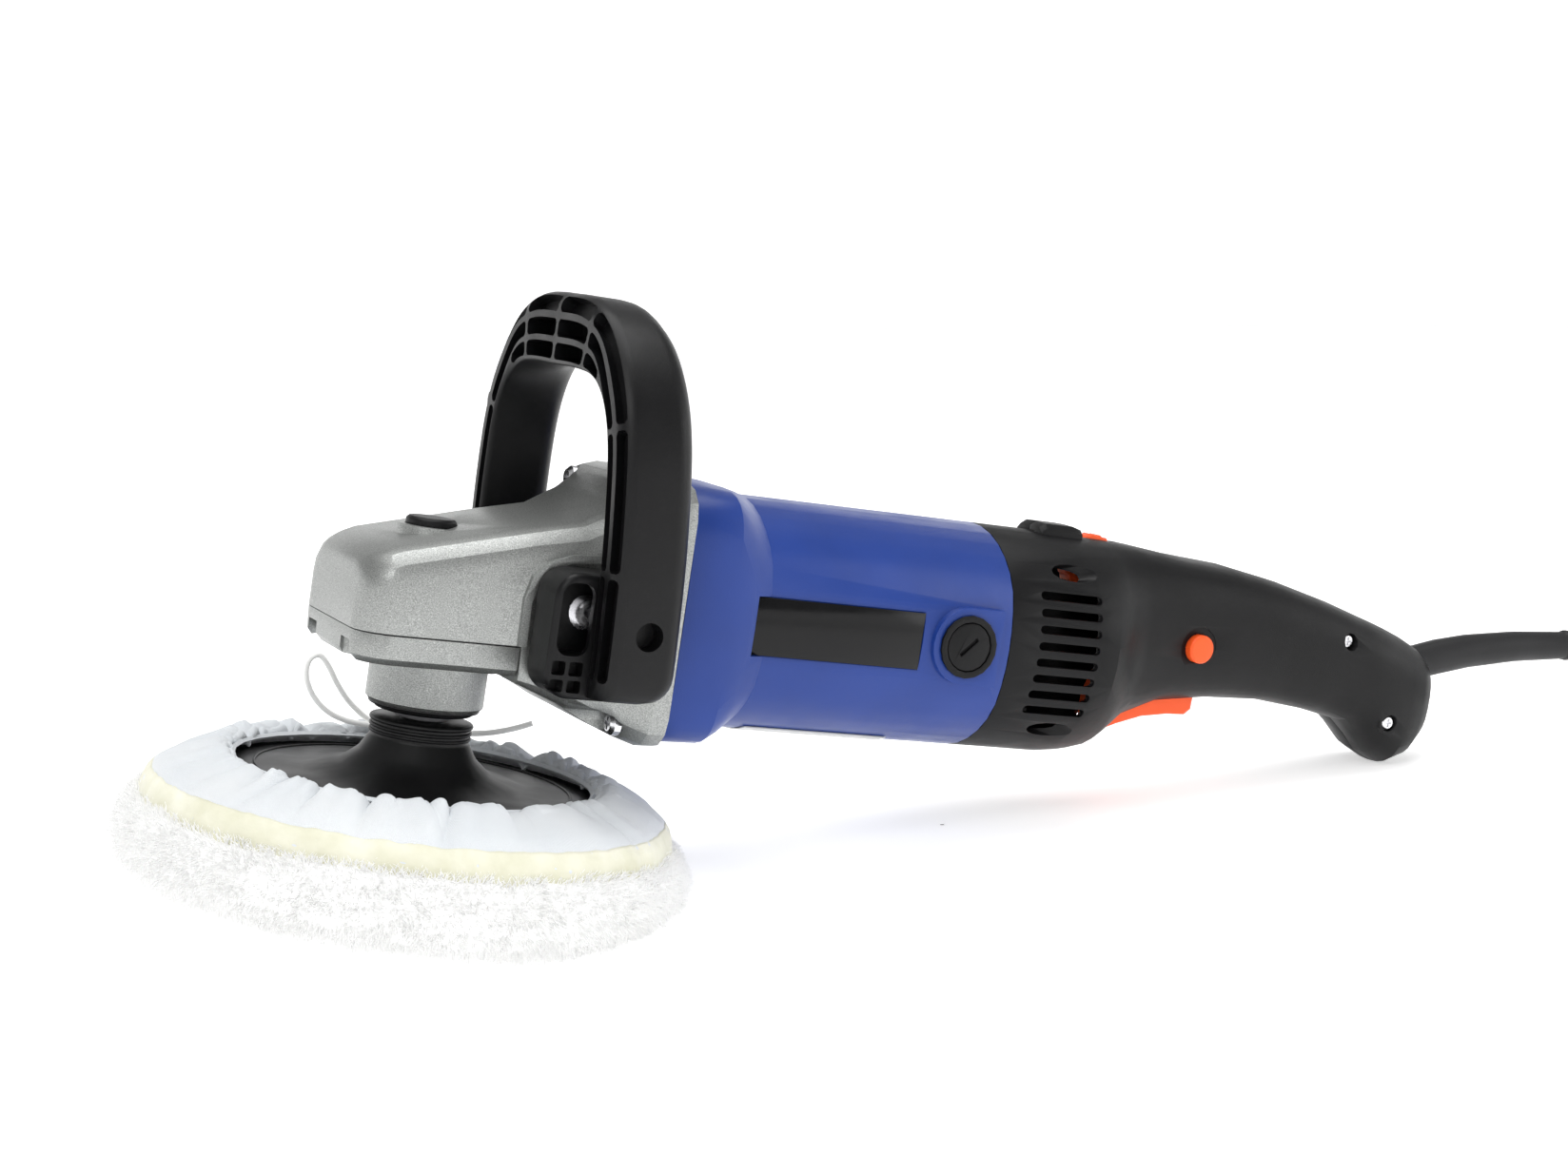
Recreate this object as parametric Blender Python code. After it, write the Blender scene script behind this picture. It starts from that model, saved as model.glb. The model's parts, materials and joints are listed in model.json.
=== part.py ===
"""Rotary polisher with a D-shaped front handle, a wool bonnet on its backing plate, and a mains lead.

The machine is drawn level in millimetres: the spindle is the vertical line X=0, Y=0, the motor runs
towards +X at MOTOR_Z, and the near side is -Y. Everything hangs from the empty "machine", which is
then tipped back until the machine rests on the rear of its bonnet and on the toe of its rear handle.
The free lead is drawn in the row's own frame, in metres, because it lies on the ground.
"""
import bpy
from math import sin, cos, atan2, pi, sqrt, radians
from mathutils import Vector

MM = 0.001
GAP = 0.3            # between pieces that touch
RUN = 0.25           # around pieces that turn or slide
ROUND = 24           # sides of a large round piece
SMALL = 12           # sides of a screw or a button

# Gear head
MOTOR_Z = 106.5      # height of the motor's axis
HEAD_FRONT = -38.5
HEAD_WIDE = 37.0     # half width of the gear head
HEAD_CORNER = 13.0
HEAD_NOSE_TOP = 110.5
HEAD_FRONT_TOP = 120.6
PARTING_Z = 91.0     # between gear housing and cover
COVER_BOTTOM = 80.5
COVER_SEAT_Z = 87.2
NECK_R = 21.0
NECK_BOTTOM = 62.5
STEP_X = 18.5        # where the casting steps down behind the cover
CHAMBER_R = 29.5
CHAMBER_TOP = 114.0
FLANGE_X = 74.0      # joint between gear housing and motor housing
FLANGE_HALF = 46.8
FLANGE_SCREW_Y = 35.0
FLANGE_SCREW_Z = 40.0
FLANGE_SEAT_X = 60.0
COVER_SCREW_AT = ((-28.5, 27.5), (11.5, 30.5))

# Motor housing
BODY_R = 43.5
PANEL_OUT = 41.2     # half width over the two side panels
PANEL_R = 63.0       # radius of the panels' crown
BODY_END = 212.0
WALL = 3.0
BULKHEAD = 7.0
BRUSH_X = 192.3
BRUSH_FACE = 44.7
BRUSH_R = 11.9
BOSS_R = 14.5
LABEL_X = (104.0, 174.0)
LABEL_HALF = 10.6
LABEL_SEAT = 40.0    # half width over the seats of the name plates

# Rear housing: outline of the handle as (X, half width, bottom, top, squareness)
BELL_END = 252.0
HANDLE_SECTIONS = (
    (262.0, 41.0, 64.0, 150.0, 2.0),
    (270.0, 36.5, 66.0, 149.8, 2.1),
    (275.5, 31.5, 70.0, 149.4, 2.3),
    (284.0, 28.8, 79.0, 148.8, 2.5),
    (302.0, 27.3, 87.0, 147.0, 2.6),
    (330.0, 25.6, 90.5, 145.3, 2.6),
    (356.0, 24.6, 91.5, 141.5, 2.6),
    (384.0, 23.8, 89.0, 135.6, 2.6),
    (402.0, 23.2, 86.0, 130.9, 2.6),
    (410.0, 22.8, 80.0, 128.9, 2.6),
    (417.0, 22.3, 73.5, 127.0, 2.6),
    (426.5, 21.2, 69.2, 124.0, 2.6),
    (434.5, 19.3, 72.5, 120.8, 2.6),
    (440.0, 16.3, 79.0, 116.8, 2.6),
    (443.5, 12.0, 87.0, 110.5, 2.6),
)
REAR_WALL = 2.8
REAR_SCREW_R = 38.0
REAR_SEAT_X = 229.0
HANDLE_SCREWS = ((388.0, 121.0), (416.5, 88.5))
HANDLE_SEAT = 17.5
CORD_HOLE_R = 8.4
CORD_HOLE_Z = 112.9
SLEEVE_POINTS = ((428.0, 110.6), (440.0, 112.4), (454.0, 116.4), (470.0, 120.2), (496.0, 124.4), (524.0, 127.2))
SLEEVE_RADII = (7.3, 7.3, 7.5, 7.2, 6.6, 6.0)
SLOT_COUNT = 8
SLOT_X = (225.0, 253.0)
SLOT_Z = (84.0, 128.0)
SLOT_HIGH = 3.2

# Controls
LOCK_AT = (-6.5, 126.0)      # spindle lock button: X of its axis, height of its recess's rim
LOCK_R = 9.0
LOCK_BOSS_R = 12.2
LOCK_FLOOR = LOCK_AT[1] - 6.0
LOCK_PROUD = 3.0             # how far the button stands above its boss
LOCK_PIN_X = -12.8
LOCK_PIN_R = 2.0
TRIGGER_PIVOT = (288.0, 92.0)
TRIGGER_HALF = 9.0
LOCK_ON_AT = (309.0, 112.5)
LOCK_ON_R = 5.7
DIAL_AT = (268.0, 139.3)
DIAL_R = 12.0
DIAL_HALF = 3.8

# Spindle, gears and motor
SPINDLE_R = 6.0
JOURNAL_R = 5.0
THREAD_R = 6.9
THREAD_Z = (43.0, 57.8)
BEARING_Z = (69.0, 79.0)
BEARING_R = 16.0
BUSH_Z = (107.5, 113.0)
BUSH_R = 8.0
CROWN_TEETH = 28
PINION_TEETH = 7
CROWN_Z = (91.5, 98.2)
CROWN_TIP = 101.2
CROWN_R = (19.5, 26.0)
PINION_R = (4.9, 6.6)        # root and tip
PINION_X = (16.0, 27.0)
PINION_SHAFT_R = 3.4
PINION_PHASE = -pi / 2       # a tooth points down into the crown gear
FRONT_BEARING_X = (40.0, 49.0)
SHAFT_R = 6.0
FAN_X = (59.0, 71.0)
FAN_R = 37.0
BLADES = 12
CORE_X = (98.0, 146.0)
CORE_R = 22.5
STATOR_BORE = 23.2
STATOR_R = 37.6
COMMUTATOR_X = (176.0, 203.0)
COMMUTATOR_R = 14.0
REAR_BEARING_X = (205.5, 211.7)
REAR_BEARING_R = 11.0
REAR_SHAFT_R = 4.0

# Backing plate: radii and heights of its rim and hub
PLATE_R = 90.0
PLATE_LOW = 16.0
PLATE_RIM = 10.0             # height of the rim's side
PLATE_DISH = 6.0             # radius of the rounded foot of the rim
HUB_R = 17.5
HUB_TOP = 57.6
HUB_BORE = 7.3

# Bonnet: a dish of wool pile with a cloth edge that a drawstring gathers over the plate
BONNET_R = 102.0
BONNET_BOTTOM = -5.0
BONNET_MOUTH_R = 66.0
CLOTH_THICK = 1.9
STRING_R = 1.1
WOOL_REST = 12.0             # how far the wool gives way under the rear rim

# Front handle: half of its loop seen from the front, foot to crown
GRIP_DEEP = 28.0             # across the bar, front to back
GRIP_LEAN = 2.6              # degrees that the loop leans forward
GRIP_FOOT_X = 35.5           # front of the bar at its foot
GRIP_OUTER = ((71.5, 79.0), (73.5, 95.0), (74.5, 125.0), (73.0, 148.0), (70.0, 166.0), (64.5, 181.5),
              (55.0, 195.5), (42.0, 206.5), (24.0, 213.0), (0.0, 214.0))
GRIP_INNER = ((58.0, 79.0), (60.0, 95.0), (60.0, 125.0), (58.0, 148.0), (55.5, 163.0), (51.0, 174.0),
              (44.0, 182.0), (34.5, 186.5), (20.0, 188.0), (0.0, 188.0))
PAD_Y = 41.5                 # inner face of its feet
PAD_X = (20.0, 53.0)
PAD_Z = (77.5, 121.0)
PAD_OUT = 58.0
LEG_HOLE = (49.4, 103.0)     # blind hole in the outer side of each leg
POCKET_HALF = (13.0, 15.5)   # of the hollow round each bolt
BOLT_X = 35.5                # its bolts enter the gear housing on the motor's height

# The lead, in metres in the row's frame. It leaves the strain relief level, falls to the ground and
# runs into a flat coil of the rest of its length, with the plug beside the coil.
LEAD_R = 0.0035
LEAD_POINTS = (
    (0.3206, 0.0, 0.0385), (0.3300, 0.0, 0.0378), (0.3400, 0.0, 0.0366), (0.3500, 0.0, 0.0347),
    (0.3600, 0.0, 0.0318), (0.3700, 0.0, 0.0279), (0.3800, 0.0, 0.0233), (0.3900, 0.0, 0.0185),
    (0.4000, 0.0, 0.0140), (0.4100, 0.0, 0.0101), (0.4200, 0.0, 0.0071), (0.4300, 0.0, 0.0049),
    (0.4390, 0.0, 0.0039),
)
COIL_CENTRE = (0.440, -0.060)
COIL_MID_R = 0.042           # twelve diameters across at the middle of its turns
COIL_TURNS = (4, 2)          # side by side, and on each other
PLUG_AT = (0.517, -0.068)
PLUG_HALF_WIDE = 0.018
PLUG_HALF_THICK = 0.0085
PIN_R = 0.0022
PIN_PITCH = 0.019

COLOURS = {
    "casting": ((0.36, 0.37, 0.36), 0.38, 0.85), "blue": ((0.035, 0.075, 0.40), 0.38, 0.0),
    "black": ((0.012, 0.012, 0.013), 0.5, 0.0), "orange": ((0.95, 0.12, 0.02), 0.4, 0.0),
    "steel": ((0.55, 0.55, 0.56), 0.3, 1.0), "bright": ((0.75, 0.75, 0.76), 0.18, 1.0),
    "copper": ((0.72, 0.28, 0.12), 0.35, 1.0), "brass": ((0.78, 0.57, 0.22), 0.3, 1.0),
    "cloth": ((0.80, 0.84, 0.92), 0.9, 0.0), "label": ((0.010, 0.010, 0.011), 0.3, 0.0),
    "rating": ((0.62, 0.62, 0.60), 0.35, 0.6), "carbon": ((0.03, 0.03, 0.03), 0.8, 0.0),
    "lead": ((0.012, 0.012, 0.012), 0.55, 0.0), "cord": ((0.85, 0.85, 0.82), 0.9, 0.0),
}


# ---------------------------------------------------------------- shapes: (points, faces) in mm

def outward(points, faces):
    """Turns every face round if the closed shape is inside out."""
    volume = 0.0
    for face in faces:
        a = points[face[0]]
        for b, c in zip(face[1:-1], face[2:]):
            volume += Vector(a).dot(Vector(points[b]).cross(Vector(points[c])))
    return points, faces if volume > 0 else [tuple(reversed(face)) for face in faces]


def skin(loops, ring=False):
    """A closed surface through loops of equal length: capped at both ends, or joined end to start."""
    count = len(loops[0])
    points = [tuple(p) for loop in loops for p in loop]
    faces = []
    for k in range(len(loops) if ring else len(loops) - 1):
        this, after = k * count, (k + 1) % len(loops) * count
        for i in range(count):
            j = (i + 1) % count
            faces.append((this + i, this + j, after + j, after + i))
    if not ring:
        faces.append(tuple(reversed(range(count))))
        faces.append(tuple(range(len(points) - count, len(points))))
    return outward(points, faces)


def circle(radius, z, sides, centre=(0.0, 0.0)):
    turns = [2 * pi * i / sides for i in range(sides)]
    return [(centre[0] + radius * cos(a), centre[1] + radius * sin(a), z) for a in turns]


def lathe(profile, ring=False, sides=ROUND):
    """Turned about Z: profile is (radius, z) from one end to the other, or round a hollow section."""
    return skin([circle(r, z, sides) for r, z in profile], ring)


def tube(inner, outer, low, high, sides=ROUND):
    return lathe(((inner, low), (outer, low), (outer, high), (inner, high)), True, sides)


def rod(radius, low, high, sides=SMALL):
    return lathe(((radius, low), (radius, high)), False, sides)


def prism(outline, low, high):
    """An outline in XY between two heights."""
    return skin([[(x, y, z) for x, y in outline] for z in (low, high)])


def block(low, high):
    (a, b, c), (d, e, f) = low, high
    return prism(((a, b), (d, b), (d, e), (a, e)), c, f)


def rounded(half_x, half_y, radius, centre=(0.0, 0.0), arc=4):
    """A rectangle's outline with round corners."""
    points = []
    for quarter, (sx, sy) in enumerate(((1, 1), (-1, 1), (-1, -1), (1, -1))):
        for i in range(arc + 1):
            a = (quarter + i / arc) * pi / 2
            points.append((centre[0] + sx * (half_x - radius) + radius * cos(a),
                           centre[1] + sy * (half_y - radius) + radius * sin(a)))
    return points


def along_x(shape):
    """Stands a shape made along Z along X instead; its X becomes Y and its Y becomes Z."""
    return [(z, x, y) for x, y, z in shape[0]], shape[1]


def along_y(shape):
    """Stands a shape made along Z along Y instead; its X becomes Z and its Y becomes X."""
    return [(y, z, x) for x, y, z in shape[0]], shape[1]


def moved(shape, x=0.0, y=0.0, z=0.0):
    return [(a + x, b + y, c + z) for a, b, c in shape[0]], shape[1]


def joined(*shapes):
    points, faces = [], []
    for more_points, more_faces in shapes:
        start = len(points)
        points += more_points
        faces += [tuple(start + i for i in face) for face in more_faces]
    return points, faces


def mirrored(shape):
    """The same shape on the other side of the machine."""
    return outward([(x, -y, z) for x, y, z in shape[0]], shape[1])


# ---------------------------------------------------------------- objects

def material(name):
    found = bpy.data.materials.get(name)
    if found:
        return found
    colour, roughness, metallic = COLOURS[name]
    made = bpy.data.materials.new(name)
    made.use_nodes = True
    shader = made.node_tree.nodes["Principled BSDF"]
    shader.inputs["Base Color"].default_value = (*colour, 1.0)
    shader.inputs["Roughness"].default_value = roughness
    shader.inputs["Metallic"].default_value = metallic
    made.diffuse_color = (*colour, 1.0)
    return made


def add(name, shape, look, pivot=(0.0, 0.0, 0.0)):
    """A named solid under the machine's empty, with its origin at pivot."""
    points = [Vector(p) * MM - Vector(pivot) * MM for p in shape[0]]
    mesh = bpy.data.meshes.new(name)
    mesh.from_pydata(points, [], shape[1])
    mesh.validate()
    mesh.shade_smooth()
    mesh.set_sharp_from_angle(angle=radians(35))
    mesh.materials.append(material(look))
    node = bpy.data.objects.new(name, mesh)
    bpy.context.scene.collection.objects.link(node)
    node.parent = machine
    node.location = Vector(pivot) * MM
    return node


def shape_with(node, shape, operation):
    tool = add(f"{node.name}_tool_{len(node.modifiers)}", shape, "black")
    tool.hide_render = True
    tool.display_type = "WIRE"
    modifier = node.modifiers.new(operation.title(), "BOOLEAN")
    modifier.operation = operation
    modifier.object = tool


def cut(node, *shapes):
    """Takes shapes that don't touch each other out of a node."""
    shape_with(node, joined(*shapes), "DIFFERENCE")


def fuse(node, *shapes):
    shape_with(node, joined(*shapes), "UNION")


# ---------------------------------------------------------------- sections across the motor's axis

def section_angles(count=36):
    return [2 * pi * i / count for i in range(count)]


def squared(half_y, low, high, power, angles):
    """A superellipse in YZ: power 2 is an ellipse, and larger is squarer."""
    middle, half = (low + high) / 2, (high - low) / 2
    points = []
    for a in angles:
        c, s = cos(a), sin(a)
        points.append((half_y * abs(c) ** (2 / power) * (1 if c > 0 else -1),
                       middle + half * abs(s) ** (2 / power) * (1 if s > 0 else -1)))
    return points


def body_section(inset, angles):
    """The motor housing's round section with a crowned panel on each side."""
    radius, crown = BODY_R - inset, PANEL_R - inset
    back = PANEL_R - PANEL_OUT
    points = []
    for a in angles:
        reach = -back * abs(cos(a)) + sqrt((back * cos(a)) ** 2 + crown ** 2 - back ** 2)
        reach = min(radius, reach)
        points.append((reach * cos(a), MOTOR_Z + reach * sin(a)))
    return points


def flange_section(inset, angles):
    half = FLANGE_HALF - inset
    return squared(half, MOTOR_Z - half - 0.5, MOTOR_Z + half + 0.5, 5.0, angles)


def blended(first, second, share):
    return [(a + (c - a) * share, b + (d - b) * share) for (a, b), (c, d) in zip(first, second)]


def at_x(x, section):
    return [(x, y, z) for y, z in section]


def handle_loops(inset, angles, start=BODY_END + GAP):
    """The rear housing's loops from the motor housing to the end of the handle."""
    body = body_section(inset, angles)
    loops = [at_x(start, body), at_x(BELL_END, body)]
    for x, half, low, high, power in HANDLE_SECTIONS:
        section = squared(half - inset, low + inset, high - inset, power, angles)
        loops.append(at_x(x, section))
    return loops


# ---------------------------------------------------------------- gear head

def head_section(half, low, high, top_radius, foot_radius, arc=3):
    """The gear head's section: a rectangle with one radius along its top and another along its foot."""
    points = []
    corners = ((1, high, 1, top_radius), (-1, high, 1, top_radius), (-1, low, -1, foot_radius), (1, low, -1, foot_radius))
    for quarter, (side, z, up, radius) in enumerate(corners):
        for i in range(arc + 1):
            a = (quarter + i / arc) * pi / 2
            points.append((side * (half - radius) + radius * cos(a), z - up * radius + radius * sin(a)))
    return points


def head_plan(inset=0.0, arc=5):
    """Half of the gear head's outline from above, front to back: (X, half width)."""
    radius = HEAD_CORNER - inset
    front, wide = HEAD_FRONT + inset, HEAD_WIDE - inset
    turns = [pi / 2 * i / arc for i in range(arc + 1)]
    return [(front + radius * (1 - cos(a)), wide - radius + radius * sin(a)) for a in turns]


def gear_housing():
    loops = []
    for x, half in head_plan():
        rise = sqrt(max(0.0, (x - HEAD_FRONT) / HEAD_CORNER))
        high = HEAD_NOSE_TOP + rise * (HEAD_FRONT_TOP - HEAD_NOSE_TOP)
        loops.append(at_x(x, head_section(half, PARTING_Z, high, min(11.0, half / 3), 0.6)))
    flange_low, flange_high = MOTOR_Z - FLANGE_HALF - 0.5, MOTOR_Z + FLANGE_HALF + 0.5
    for x, half, low, high, top_radius, foot_radius in (
            (STEP_X, HEAD_WIDE + 1.0, PARTING_Z, 131.5, 11.0, 0.6),
            (STEP_X + GAP, HEAD_WIDE + 1.0, 78.0, 131.6, 11.0, 3.0),
            (38.0, HEAD_WIDE + 1.6, 71.0, 136.0, 12.0, 9.0),
            (50.0, HEAD_WIDE + 3.0, 65.0, 143.0, 12.0, 12.0),
            (60.0, FLANGE_HALF - 3.5, flange_low + 2.0, flange_high - 1.5, 12.0, 12.0),
            (67.0, FLANGE_HALF, flange_low, flange_high, 12.0, 12.0),
            (FLANGE_X - GAP, FLANGE_HALF, flange_low, flange_high, 12.0, 12.0)):
        loops.append(at_x(x, head_section(half, low, high, top_radius, foot_radius)))
    node = add("gear_housing", skin(loops), "casting")
    fuse(node, moved(rod(LOCK_BOSS_R, LOCK_FLOOR - 3, LOCK_AT[1], 24), x=LOCK_AT[0]))
    post, roof = BUSH_R + 2.8, CHAMBER_TOP
    cut(node, lathe(((CHAMBER_R, COVER_BOTTOM - 5), (CHAMBER_R, roof - 2), (CHAMBER_R - 2, roof),
                     (post, roof), (post, BUSH_Z[0] - 0.8), (0.05, BUSH_Z[0] - 0.8))))
    seat_r, seat_x = BEARING_R + 0.2, FRONT_BEARING_X[0] - 0.2
    cut(node, moved(along_x(lathe(((9.0, 14.0), (9.0, seat_x), (seat_r, seat_x), (seat_r, 52.0), (36.0, 54.5),
                                   (39.0, 57.0), (39.0, FLANGE_X + 2)))), z=MOTOR_Z))
    cut(node, rod(BUSH_R + 0.2, BUSH_Z[0] - 2, BUSH_Z[1] + 3.2, 24))
    cut(node, *at_places(along_x(rod(6.3, 40.0, FLANGE_SEAT_X)), flange_screw_places()))
    cut(node, *at_places(along_x(rod(2.8, FLANGE_SEAT_X - 1, FLANGE_X + 2)), flange_screw_places()))
    cut(node, moved(rod(LOCK_R + RUN, LOCK_FLOOR, LOCK_AT[1] + 8, 24), x=LOCK_AT[0]))
    cut(node, moved(rod(LOCK_PIN_R + RUN, CHAMBER_TOP - 6, LOCK_FLOOR + 2), x=LOCK_PIN_X))
    cut(node, *[moved(rod(1.9, PARTING_Z - 3, PARTING_Z + 12, 12), x=x, y=y) for x, y in cover_screw_places()])
    rib = arch_rib()
    fuse(node, rib, mirrored(rib))
    hole = moved(along_y(rod(3.1, 30.0, 60.0)), x=BOLT_X, z=MOTOR_Z)
    cut(node, hole, mirrored(hole))


def arch_rib():
    """The rib that frames the front handle's foot on the far side of the casting."""
    outer = [(PAD_X[0] - 3.4, PARTING_Z + 0.5), (PAD_X[0] - 3.6, 108.0), (PAD_X[0] - 1.5, 116.0), (PAD_X[0] + 4.0, 121.5),
             (PAD_X[0] + 12.0, 124.6), (60.0, 127.0)]
    inner = [(60.0, 124.4), (PAD_X[0] + 12.0, 121.8), (PAD_X[0] + 5.0, 118.6), (PAD_X[0] + 1.2, 114.2),
             (PAD_X[0] - 0.8, 107.0), (PAD_X[0] - 0.6, PARTING_Z + 0.5)]
    return along_y(prism([(z, x) for x, z in outer + inner], 34.0, PAD_Y - 1.2))


def flange_screw_places():
    return [(0.0, sy * FLANGE_SCREW_Y, MOTOR_Z + sz * FLANGE_SCREW_Z) for sy in (-1, 1) for sz in (1, -1)]


def cover_screw_places():
    return [(x, sy * y) for x, y in COVER_SCREW_AT for sy in (-1, 1)]


def at_places(shape, places):
    return [moved(shape, *place) for place in places]


def gearbox_cover():
    top = PARTING_Z - GAP
    loops = []
    for z, inset in ((COVER_BOTTOM, 2.2), (COVER_BOTTOM + 2.2, 0.4), (top, 0.0)):
        half_plan = head_plan(inset)
        back = [(STEP_X - GAP, half_plan[-1][1] + 0.8)]
        side = half_plan + back
        loops.append([(x, -y, z) for x, y in side] + [(x, y, z) for x, y in reversed(side)])
    node = add("gearbox_cover", skin(loops), "casting")
    fuse(node, lathe(((NECK_R - 1.6, NECK_BOTTOM), (NECK_R, NECK_BOTTOM + 1.6), (NECK_R, COVER_BOTTOM + 1))))
    seat = BEARING_R + 0.2
    cut(node, lathe(((13.2, NECK_BOTTOM - 2), (13.2, BEARING_Z[0] - 0.3), (seat, BEARING_Z[0] - 0.3), (seat, 84.5),
                     (CHAMBER_R - 3.0, 84.5), (CHAMBER_R - 3.0, PARTING_Z + 2))))
    front_x, front_y = COVER_SCREW_AT[0]
    pocket = rod(5.2, COVER_BOTTOM - 2, COVER_SEAT_Z, 20)
    slot = [(-16.0, -4.6), (0.0, -4.6), (0.0, 4.6), (-16.0, 4.6)]
    for side in (-1, 1):
        cut(node, moved(pocket, front_x, side * front_y))
        turned = [(x * cos(pi / 4) - y * sin(pi / 4), side * (x * sin(pi / 4) + y * cos(pi / 4)) * -1)
                  for x, y in slot]
        cut(node, moved(outward(*prism([(x, -y) for x, y in turned], COVER_BOTTOM - 2.5, COVER_SEAT_Z - 0.4)),
                        front_x, side * front_y))
    rear_x, rear_y = COVER_SCREW_AT[1]
    cut(node, *[moved(pocket, rear_x, side * rear_y) for side in (-1, 1)])
    cut(node, *[moved(rod(2.1, COVER_SEAT_Z - 1, top + 2, 12), x, y) for x, y in cover_screw_places()])


def screw(head_r, head_high, shank_r, shank, socket_r=0.0, sides=SMALL):
    """A screw along Z with its seat at 0 and its head below; its socket is a hexagon or a cross."""
    crown = head_high * 0.35
    return lathe(((head_r - crown, -head_high), (head_r, -head_high + crown), (head_r, -0.15),
                  (shank_r, -0.15), (shank_r, shank)), False, sides)


def hexagon(radius, low, high):
    return lathe(((radius, low), (radius, high)), False, 6)


def cross(reach, width, low, high):
    """A Phillips recess's four arms, as one outline."""
    a, b = reach, width / 2
    return prism(((a, -b), (a, b), (b, b), (b, a), (-b, a), (-b, b), (-a, b), (-a, -b), (-b, -b), (-b, -a),
                  (b, -a), (b, -b)), low, high)


def place_screw(name, shape, recess, turn, place, look="steel"):
    node = add(name, moved(turn(shape), *place), look)
    cut(node, moved(turn(recess), *place))


def as_is(shape):
    return shape


def cover_screws():
    for number, (x, y) in enumerate(cover_screw_places(), 1):
        place_screw(f"cover_screw_{number}", screw(3.8, 3.0, 1.7, 12.0), cross(2.0, 1.0, -4.0, -1.6), as_is,
                    (x, y, COVER_SEAT_Z - GAP), "bright")


def flange_screws():
    for number, place in enumerate(flange_screw_places(), 1):
        place_screw(f"flange_screw_{number}", screw(4.3, 4.0, 2.4, 26.0), cross(2.3, 1.2, -5.0, -2.0), along_x,
                    (FLANGE_SEAT_X - GAP, place[1], place[2]), "bright")


def spindle():
    low, high = THREAD_Z
    profile = ((THREAD_R - 0.8, low), (THREAD_R, low + 1), (THREAD_R, high + 0.4), (10.0, high + 0.4),
               (10.0, NECK_BOTTOM - 0.4), (8.5, NECK_BOTTOM + 1), (SPINDLE_R, NECK_BOTTOM + 3),
               (SPINDLE_R, BEARING_Z[1] + 3), (8.0, BEARING_Z[1] + 3), (8.0, CROWN_Z[0] - GAP),
               (SPINDLE_R, CROWN_Z[0] - GAP), (SPINDLE_R, CROWN_Z[1] + 1), (JOURNAL_R, CROWN_Z[1] + 1.5),
               (JOURNAL_R, BUSH_Z[1] + 2))
    add("spindle", lathe(profile, False, 18), "bright")
    add("spindle_bearing", tube(SPINDLE_R + 0.2, BEARING_R, *BEARING_Z, 20), "steel")
    add("spindle_bush", tube(JOURNAL_R + 0.15, BUSH_R, *BUSH_Z, 24), "brass")


def crown_gear():
    """A face gear: a ring of teeth on top of a disc, with a row of holes that the lock pin drops into."""
    inner, outer = CROWN_R
    low, root = CROWN_Z
    count = CROWN_TEETH * 4
    turns = [2 * pi * i / count for i in range(count)]
    high = [i % 4 in (2, 3) for i in range(count)]
    shift = 2 * pi / count / 2
    tops = [CROWN_TIP if up else root for up in high]

    def ring(radius, heights):
        return [(radius * cos(a - shift), radius * sin(a - shift), z) for a, z in zip(turns, heights)]

    bore = SPINDLE_R + 0.2
    flat_low, flat_root = [low] * count, [root] * count
    node = add("crown_gear", skin([ring(bore, flat_low), ring(outer, flat_low), ring(outer, tops), ring(inner, tops),
                                   ring(inner - 0.4, flat_root), ring(bore, flat_root)], True), "steel")
    hole = rod(LOCK_PIN_R + 0.7, low - 1, root + 1, 8)
    reach = -LOCK_PIN_X
    cut(node, *[moved(hole, reach * cos(a), reach * sin(a)) for a in [2 * pi * i / 4 for i in range(4)]])


def pinion():
    root, tip = PINION_R
    outline = []
    for tooth in range(PINION_TEETH):
        for share, radius in ((-0.30, root), (-0.13, tip), (0.13, tip), (0.30, root)):
            a = 2 * pi * (tooth + share) / PINION_TEETH + PINION_PHASE
            outline.append((radius * cos(a), radius * sin(a)))
    count = len(outline)
    turns = [2 * pi * (i / count - 0.3 / PINION_TEETH) + PINION_PHASE for i in range(count)]
    inner = [((PINION_SHAFT_R + 0.2) * cos(a), (PINION_SHAFT_R + 0.2) * sin(a)) for a in turns]
    low, high = PINION_X
    loops = [[(x, y, z) for x, y in line] for line, z in
             ((inner, low), (outline, low), (outline, high), (inner, high))]
    add("pinion", moved(along_x(skin(loops, True)), z=MOTOR_Z), "steel")


# ---------------------------------------------------------------- motor

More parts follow.
